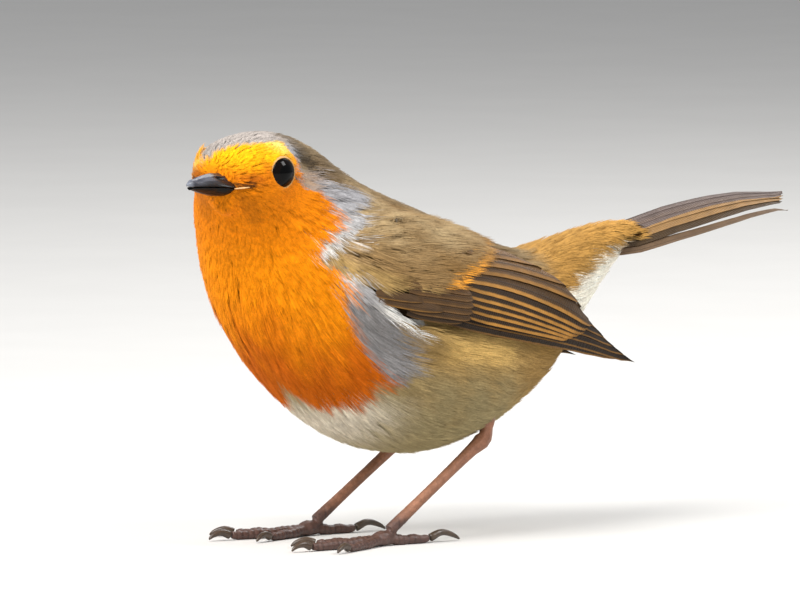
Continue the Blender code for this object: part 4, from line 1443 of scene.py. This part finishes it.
class ROBIN_OT_legs(bpy.types.Operator):
    """Make the legs with their shields, the ringed toes with their pads, and the claws"""

    bl_idname = "robin.legs"
    bl_label = "Legs"

    SWELL = 0.16
    SHANK_WAY = unit(np.array((-0.75, 0, 0.66)))  # the way that the front of the shank looks
    SHIELD, TOE_RING = 2.7, 1.05  # length of a shield and of a toe's ring
    # the first tone is the shank's own, the second a darker copy painted as shade on the back of the shank
    # and near its top under the body, the third the toes' own colour
    PALE, SHADE, DARK = linear(158, 110, 84), linear(120, 72, 46), linear(78, 57, 52)

    def execute(self, context):
        for side, sign in SIDES.items():
            ankle, foot = np.array((-2.49, sign * 10.2, 16.4)), np.array((-23.09, sign * 10.6, 1.22))
            thigh = ball("thigh", ankle + (0.65, -sign * 0.15, 4.2), (1.7, 1.7, 3.4))
            knuckle = ball("knuckle", foot + (0.6, 0, 0.35), (1.45, 1.2, 0.95))
            leg = joined("shank_" + side, node_copy("leg_" + side), node_copy("foot_" + side), thigh, knuckle)
            remeshed(swollen(leg, self.SWELL), voxel=0.18, smoothing=5)
            points, normals = mesh_points(leg.data), mesh_normals(leg.data)
            points = points - normals * self.SWELL
            relief, tone = self.shields(points, normals, ankle, foot)
            points = points + normals * relief[:, None]
            points[:, 2] = np.maximum(points[:, 2], 0.0)
            place_points(leg.data, points)
            set_colours(leg.data, "tone", tone)
            skin = found_material("scaled_skin", leg_material)
            dressed(leg, skin, "leg_skin", "leg_" + side, "foot_" + side)
            nodes = [f"claw_{side}_{toe}" for toe in ("inner", "middle", "outer", "hind")]
            claws = joined("claws_" + side, *(node_copy(node) for node in nodes))
            apply_modifier(claws, "SUBSURF", levels=2, render_levels=2)
            claws.data.shade_smooth()
            dressed(claws, found_material("claw_horn", claw_material), "claw", *nodes)
        return {"FINISHED"}

    def shields(self, points, normals, ankle, foot):
        """The relief and colour of the skin: shields down the front of the shank, rings over the toes,
        painted shade on the shank's back and near its top.
        """
        along = (points - ankle) @ unit(foot - ankle)
        on_shank = smoothstep(-2, 1, along) * smoothstep(24.5, 22.5, along)
        front = smoothstep(-0.2, 0.5, normals @ self.SHANK_WAY)
        step = (along / self.SHIELD) % 1.0
        shield = 0.03 * np.minimum(step * 8, 1) - 0.03 * smoothstep(0.85, 1.0, step)
        reach = np.linalg.norm((points - foot)[:, :2], axis=1)
        low = smoothstep(5.5, 3.5, points[:, 2])
        on_toes = smoothstep(1.6, 2.6, reach) * low * smoothstep(21.5, 24.0, along + 3 * (reach > 3))
        ring_step = (reach / self.TOE_RING) % 1.0
        ring = 0.13 * np.sin(math.pi * ring_step) ** 0.6 - 0.07
        above = smoothstep(-0.3, 0.3, normals[:, 2])
        relief = on_shank * shield * (0.35 + 0.65 * front) + on_toes * ring * (0.4 + 0.6 * above)
        # painted shade: the shank darkens near its top, under the body, and on its back, away from the front
        tone = blended(self.PALE, self.SHADE, 0.6 * smoothstep(3, -4, along) + 0.5 * (1 - front) * on_shank)
        toe = smoothstep(1.0, 2.0, reach) * low
        tone = blended(tone, self.DARK, 0.9 * np.maximum(smoothstep(17, 24, along), toe))
        between_rings = on_toes * (bell(ring_step, 0, 0.12) + bell(ring_step, 1, 0.12))
        groove = np.maximum(0.25 * on_shank * smoothstep(0.8, 0.95, step) * front, between_rings)
        return relief, tone * (1 - 0.45 * np.clip(groove, 0, 1))[:, None]


# The folded wing's feathers as they lie: three places along each one's open edge, as (x, z), then its width.
PRIMARIES = (
    ((-17.0, 36.3), (5.5, 31.7), (26.2, 27.6), 3.0),
    ((-15.0, 36.9), (7.5, 32.3), (29.2, 26.9), 3.2),
    ((-13.0, 37.4), (9.0, 33.1), (28.2, 28.2), 3.2),
    ((-11.0, 37.9), (10.5, 34.0), (26.4, 29.6), 3.2),
    ((-9.0, 38.4), (11.5, 35.0), (24.0, 31.2), 3.2),
    ((-8.0, 39.2), (12.0, 36.2), (21.2, 33.0), 3.2),
)
SECONDARIES = (
    ((-14.0, 37.5), (-0.8, 34.6), (11.0, 32.0), 3.6),
    ((-14.0, 38.7), (-0.9, 35.7), (12.3, 32.1), 3.6),
    ((-14.0, 39.9), (-1.2, 36.8), (13.6, 32.2), 3.8),
    ((-14.0, 41.0), (-1.4, 38.0), (14.9, 32.4), 4.0),
    ((-14.0, 42.3), (-1.2, 39.2), (16.0, 32.9), 4.4),
)
TERTIALS = (
    ((-16.0, 43.6), (-0.6, 40.8), (17.6, 33.3), 4.2),
    ((-14.0, 45.1), (1.4, 42.6), (15.0, 37.4), 3.8),
    ((-12.5, 46.3), (0.5, 44.4), (11.2, 40.8), 3.2),
    ((-10.5, 47.6), (-1.0, 46.3), (6.8, 44.2), 2.6),
)
PRIMARY_COVERTS = (
    ((-25.5, 38.5), (-20.0, 37.3), (-14.2, 36.6), 1.8),
    ((-25.0, 39.3), (-19.5, 38.2), (-13.2, 37.3), 2.0),
)
GREAT_COVERTS = (
    ((-25.0, 39.0), (-19.0, 38.0), (-12.6, 36.9), 2.4),
    ((-25.0, 40.1), (-19.0, 39.1), (-12.1, 37.9), 2.4),
    ((-25.0, 41.1), (-19.0, 40.2), (-11.8, 38.9), 2.4),
    ((-25.0, 42.2), (-19.0, 41.3), (-11.7, 40.0), 2.4),
    ((-24.5, 43.2), (-19.0, 42.4), (-11.9, 41.1), 1.6),
)
ALULA = (
    ((-30.6, 40.9), (-25.5, 39.7), (-18.4, 38.5), 2.0),
    ((-31.2, 42.0), (-28.0, 41.3), (-22.4, 40.4), 1.5),
)
# For each kind: how far out the first lies, the step from one to the next and their tilt, then for all or for
# each how strong the ground and the edge are, how wide the edge is and where the tip starts to round.
FLIGHT_ROWS = (
    (PRIMARIES, -0.92, 0.03, 0.14, 0.25, 0.42, 0.09, 0.86),
    (SECONDARIES, -0.56, 0.02, 0.2, 0.4, 0.95, 0.135, 0.9),
)
COVERT_ROWS = (
    (TERTIALS, -0.42, 0.05, 0.17, (0.9, 1.45, 1.9, 2.2), (0.85, 0.6, 0.52, 0.5), (0.15, 0.16, 0.2, 0.2),
        (0.84, 0.7, 0.6, 0.5)),
    (PRIMARY_COVERTS, -0.36, 0.04, 0.1, 0.55, 0.25, 0.1, 0.8),
    (GREAT_COVERTS, -0.3, 0.02, 0.16, (0.95, 1.07, 1.19, 1.31, 1.43), 2.0, 0.1, 0.82),
    (ALULA, -0.06, 0.08, 0.1, 1.1, 0.45, 0.1, 0.6),
)
# The folded wing's top edge, as (x, z).
WING_OUTLINE = np.array(
    (
        (-40.0, 62.0), (-15.2, 52.7), (-6.2, 50.1), (2.3, 46.9), (9.8, 42.9), (16.3, 36.7), (22.8, 31.5),
        (29.3, 27.3), (31.0, 27.0),
    )
)


class ROBIN_OT_wings(bpy.types.Operator):
    """Make the folded wings: a core, the flight feathers and the coverts"""

    bl_idname = "robin.wings"
    bl_label = "Wings"

    def execute(self, context):
        paints = context.scene.robin_paints
        for side, sign in SIDES.items():
            nodes = wing_nodes(side, "coverts", "secondaries", "primaries")
            drape = Drape(nodes, 1, sign, (-42.0, 22.0), (33.0, 62.0))
            self.core(side, paints)
            replaced = [f"wing_{side}_{part}" for part in ("primaries", "secondaries")]
            flight = self.laid(drape, FLIGHT_ROWS, paints)
            flight.piece("flight_feathers_" + side, "flight_feathers", *replaced)
            self.laid(drape, COVERT_ROWS, paints).piece("wing_coverts_" + side, "wing_feathers")
        return {"FINISHED"}

    @staticmethod
    def laid(drape, rows, paints):
        """The vanes of some rows; the great coverts' edges are a paler tone of their own ground."""
        vanes = Vanes(drape, WING_OUTLINE)
        for feathers, lift, step, tilt, *looks in rows:
            looks = [value if isinstance(value, tuple) else (value,) * len(feathers) for value in looks]
            edge_paint = paints.wing if feathers is GREAT_COVERTS else paints.wing_edge
            for i, ((*edge, width), dark, pale, edge_size, blunt) in enumerate(zip(feathers, *looks)):
                ground, fringe = np.array(paints.wing) * dark, np.array(edge_paint) * pale
                vanes.add(edge, width, lift + step * i, tilt, ground, fringe, edge_size, blunt)
        return vanes

    @staticmethod
    def core(side, paints):
        """What a wing's feathers stand on, drawn in from its edges and its thin end so that they cover it."""
        nodes = [f"wing_{side}_{part}" for part in ("coverts", "secondaries")]
        core = joined("wing_core_" + side, *(swollen(node_copy(node), 0.2) for node in nodes))
        remeshed(core, voxel=0.42, smoothing=6)
        points, normals = mesh_points(core.data), mesh_normals(core.data)
        points = points - normals * 1.1
        form = search_tree(bpy.data.objects["shoulders"])
        for i, p in enumerate(points):
            spot, normal = form.find_nearest(p.tolist())[:2]
            points[i] = p - max(float((p - spot) @ normal) + 0.8, 0.0) * np.array(normal)
        x, y, z = points.T
        bottom, top = np.interp(x, *WING_LOW.T), np.interp(x, *WING_OUTLINE.T) - 1.6
        z = np.maximum(z, np.where(x > -30, bottom + 0.9, -99))
        z = np.minimum(z, np.where(x > -12, top, 99))
        y = y - np.sign(y) * 0.3 * np.clip(x - 3.5, 0, 4.0)
        points = np.column_stack((np.minimum(x, 7.5), y, z))
        place_points(core.data, points)
        unwrapped(core)
        plain = ~wing_shows(points) & (z > np.interp(points[:, 0], *WING_LOW.T))
        plain |= (z > top - 2.2) & (points[:, 0] > -9)
        colours = np.where(plain[:, None], 0.8 * markings(points, paints), np.array(paints.wing) * 0.5)
        set_colours(core.data, "plumage", colours)
        dressed(core, found_material("wing_down", skin_material), "wing_feathers", f"wing_{side}_coverts")


class Roof(Surface):
    """The tail's upper side: a ridge that falls away to both sides, by its sections along x."""

    # x, height of the ridge, half width, how far the sides drop
    SECTIONS = np.array(
        (
            (22.0, 47.4, 3.0, 3.6), (28.0, 49.0, 3.3, 4.0), (33.6, 50.4, 3.6, 4.2), (41.3, 52.3, 4.9, 5.0),
            (49.3, 53.5, 5.5, 4.6), (55.8, 53.9, 5.6, 3.6), (60.7, 53.7, 5.2, 2.5), (63.3, 53.5, 4.3, 2.1),
        )
    )

    def section(self, x):
        return (np.interp(x, self.SECTIONS[:, 0], self.SECTIONS[:, k]) for k in (1, 2, 3))

    def level(self, places):
        x, y = places.T
        ridge, half_width, drop = self.section(x)
        return ridge - drop * ((y / half_width) ** 2 + 0.002) ** 0.6


class ROBIN_OT_tail(bpy.types.Operator):
    """Make the twelve tail feathers, roofed over each other"""

    bl_idname = "robin.tail"
    bl_label = "Tail"

    ENDS = (65.4, 65.3, 64.9, 64.4, 63.8, 63.4)  # of each pair, from the middle pair out
    OUTER = 5
    OUTER_SPREAD = (1.0, 1.04, 1.2)  # how far the outer pair stands off the roof at its start, middle and end

    def execute(self, context):
        paints = context.scene.robin_paints
        roof = Roof()
        warm, ridge = np.array(paints.tail), np.array(paints.tail_edge)
        inner = (ridge, 0.8 * ridge + 0.1 * warm, warm * 1.05)
        # painted shadow: the fifth pair's tone is nearly black, for the shadow in the gap between the outer
        # pair and the rest
        tones = (*inner, warm * 0.95, warm * 0.2, 0.3 * ridge + 0.35 * warm)
        tail = Vanes(roof)
        for i in reversed(range(len(tones))):
            places = (26.0, 46.0, self.ENDS[i])
            _, half_widths, _ = roof.section(places)
            spread = self.OUTER_SPREAD if i == self.OUTER else (1.0, 1.0, 1.0)
            for side in (-1.0, 1.0):
                edge = [(x, side * w * (i + 1.0) / 6.0 * k) for x, w, k in zip(places, half_widths, spread)]
                lift = -0.25 - 0.07 * i + (0.04 if side > 0 else 0.0)
                width = 0.95 if i == self.OUTER else 3.0
                tail.add(edge, width, lift, 0.1, tones[i], tones[i] * 1.05, 0.1, 0.82, up=-side, thick=0.12)
        tail.piece("tail_feathers", "flight_feathers", "tail")
        return {"FINISHED"}


class ROBIN_OT_studio(bpy.types.Operator):
    """Set up the floor, which is also the backdrop, the soft lights, the sky and the camera"""

    bl_idname = "robin.studio"
    bl_label = "Studio"

    FLOOR_SIZE = 40.0
    BIRD = Vector((-0.012, 0, 0.04))  # where the lights are aimed
    AIM = Vector((-0.01189, 0, 0.03905))  # what the camera looks at
    SKY, SKY_STRENGTH = (0.80, 0.82, 0.86, 1), 0.44

    def execute(self, context):
        studio = context.scene.robin_studio
        self.floor(studio)
        self.lights(context, studio)
        self.camera(context, studio)
        context.scene.view_settings.view_transform = "Standard"
        return {"FINISHED"}

    def floor(self, studio):
        floor = primitive("floor", "plane", size=self.FLOOR_SIZE)
        nodes = Nodes("paper")
        grain = nodes.ranged(nodes.noise(nodes.place(), scale=40.0, detail=4.0), 0.3, 0.7)
        tone = nodes.mix(grain, tuple(c * 0.98 for c in studio.floor), tuple(studio.floor))
        nodes.set(Base_Color=tone, Roughness=0.9)
        floor.data.materials.append(nodes.material)

    def lights(self, context, studio):
        view = studio.azimuth
        ahead = Vector((math.sin(view), -math.cos(view), 0))
        right = Vector((math.cos(view), math.sin(view), 0))
        up = Vector((0, 0, 1))
        for name, way, size, power in (
            ("key", right * -0.35 + ahead * 0.45 + up * 0.55, 0.5, studio.key),
            ("fill", right * 0.55 + ahead * 0.15 + up * 0.5, 0.24, studio.fill),
            ("rim", right * 0.25 - ahead * 0.5 + up * 0.55, 0.4, studio.fill),
        ):
            lamp = bpy.data.lights.new(name, "AREA")
            lamp.size, lamp.energy = size, power
            made = bpy.data.objects.new(name, lamp)
            made.location = self.BIRD + way
            made.rotation_euler = (-way).to_track_quat("-Z", "Y").to_euler()
            context.scene.collection.objects.link(made)
        world = context.scene.world or bpy.data.worlds.new("studio")
        context.scene.world = world
        world.use_nodes = True
        sky = world.node_tree.nodes["Background"].inputs
        sky["Color"].default_value = self.SKY
        sky["Strength"].default_value = self.SKY_STRENGTH

    def camera(self, context, studio):
        azimuth, elevation = studio.azimuth, studio.elevation
        level = math.cos(elevation)
        back = Vector((math.sin(azimuth) * level, -math.cos(azimuth) * level, math.sin(elevation)))
        camera = bpy.data.objects.new("camera", bpy.data.cameras.new("camera"))
        camera.data.lens, camera.data.sensor_width = studio.lens, 36
        camera.data.clip_start, camera.data.clip_end = 0.1, 100
        camera.location = self.AIM + back * studio.distance
        camera.rotation_euler = back.to_track_quat("Z", "Y").to_euler()
        context.scene.collection.objects.link(camera)
        context.scene.camera = camera


class ROBIN_PT_panel(bpy.types.Panel):
    """The robin's pieces"""

    bl_label = "Robin"
    bl_idname = "ROBIN_PT_panel"
    bl_space_type = "VIEW_3D"
    bl_region_type = "UI"
    bl_category = "Robin"

    def draw(self, context):
        for made in OPERATORS:
            self.layout.operator(made.bl_idname)
        for group in (context.scene.robin_coat, context.scene.robin_paints, context.scene.robin_studio):
            box = self.layout.box()
            for key in group.__annotations__:
                box.prop(group, key)


OPERATORS = (
    ROBIN_OT_skin, ROBIN_OT_eyes, ROBIN_OT_bill, ROBIN_OT_legs, ROBIN_OT_wings, ROBIN_OT_tail, ROBIN_OT_coat,
    ROBIN_OT_studio,
)
GROUPS = {"robin_paints": RobinPaints, "robin_coat": RobinCoat, "robin_studio": RobinStudio}


def register():
    for made in (*GROUPS.values(), *OPERATORS, ROBIN_PT_panel):
        bpy.utils.register_class(made)
    for name, group in GROUPS.items():
        setattr(bpy.types.Scene, name, PointerProperty(type=group))


def unregister():
    for name in GROUPS:
        delattr(bpy.types.Scene, name)
    for made in reversed((*GROUPS.values(), *OPERATORS, ROBIN_PT_panel)):
        bpy.utils.unregister_class(made)


def main():
    register()
    bpy.ops.robin.skin()
    bpy.ops.robin.eyes()
    bpy.ops.robin.bill()
    bpy.ops.robin.legs()
    bpy.ops.robin.wings()
    bpy.ops.robin.tail()
    bpy.ops.robin.coat()
    bpy.ops.robin.studio()


if __name__ == "__main__":
    main()
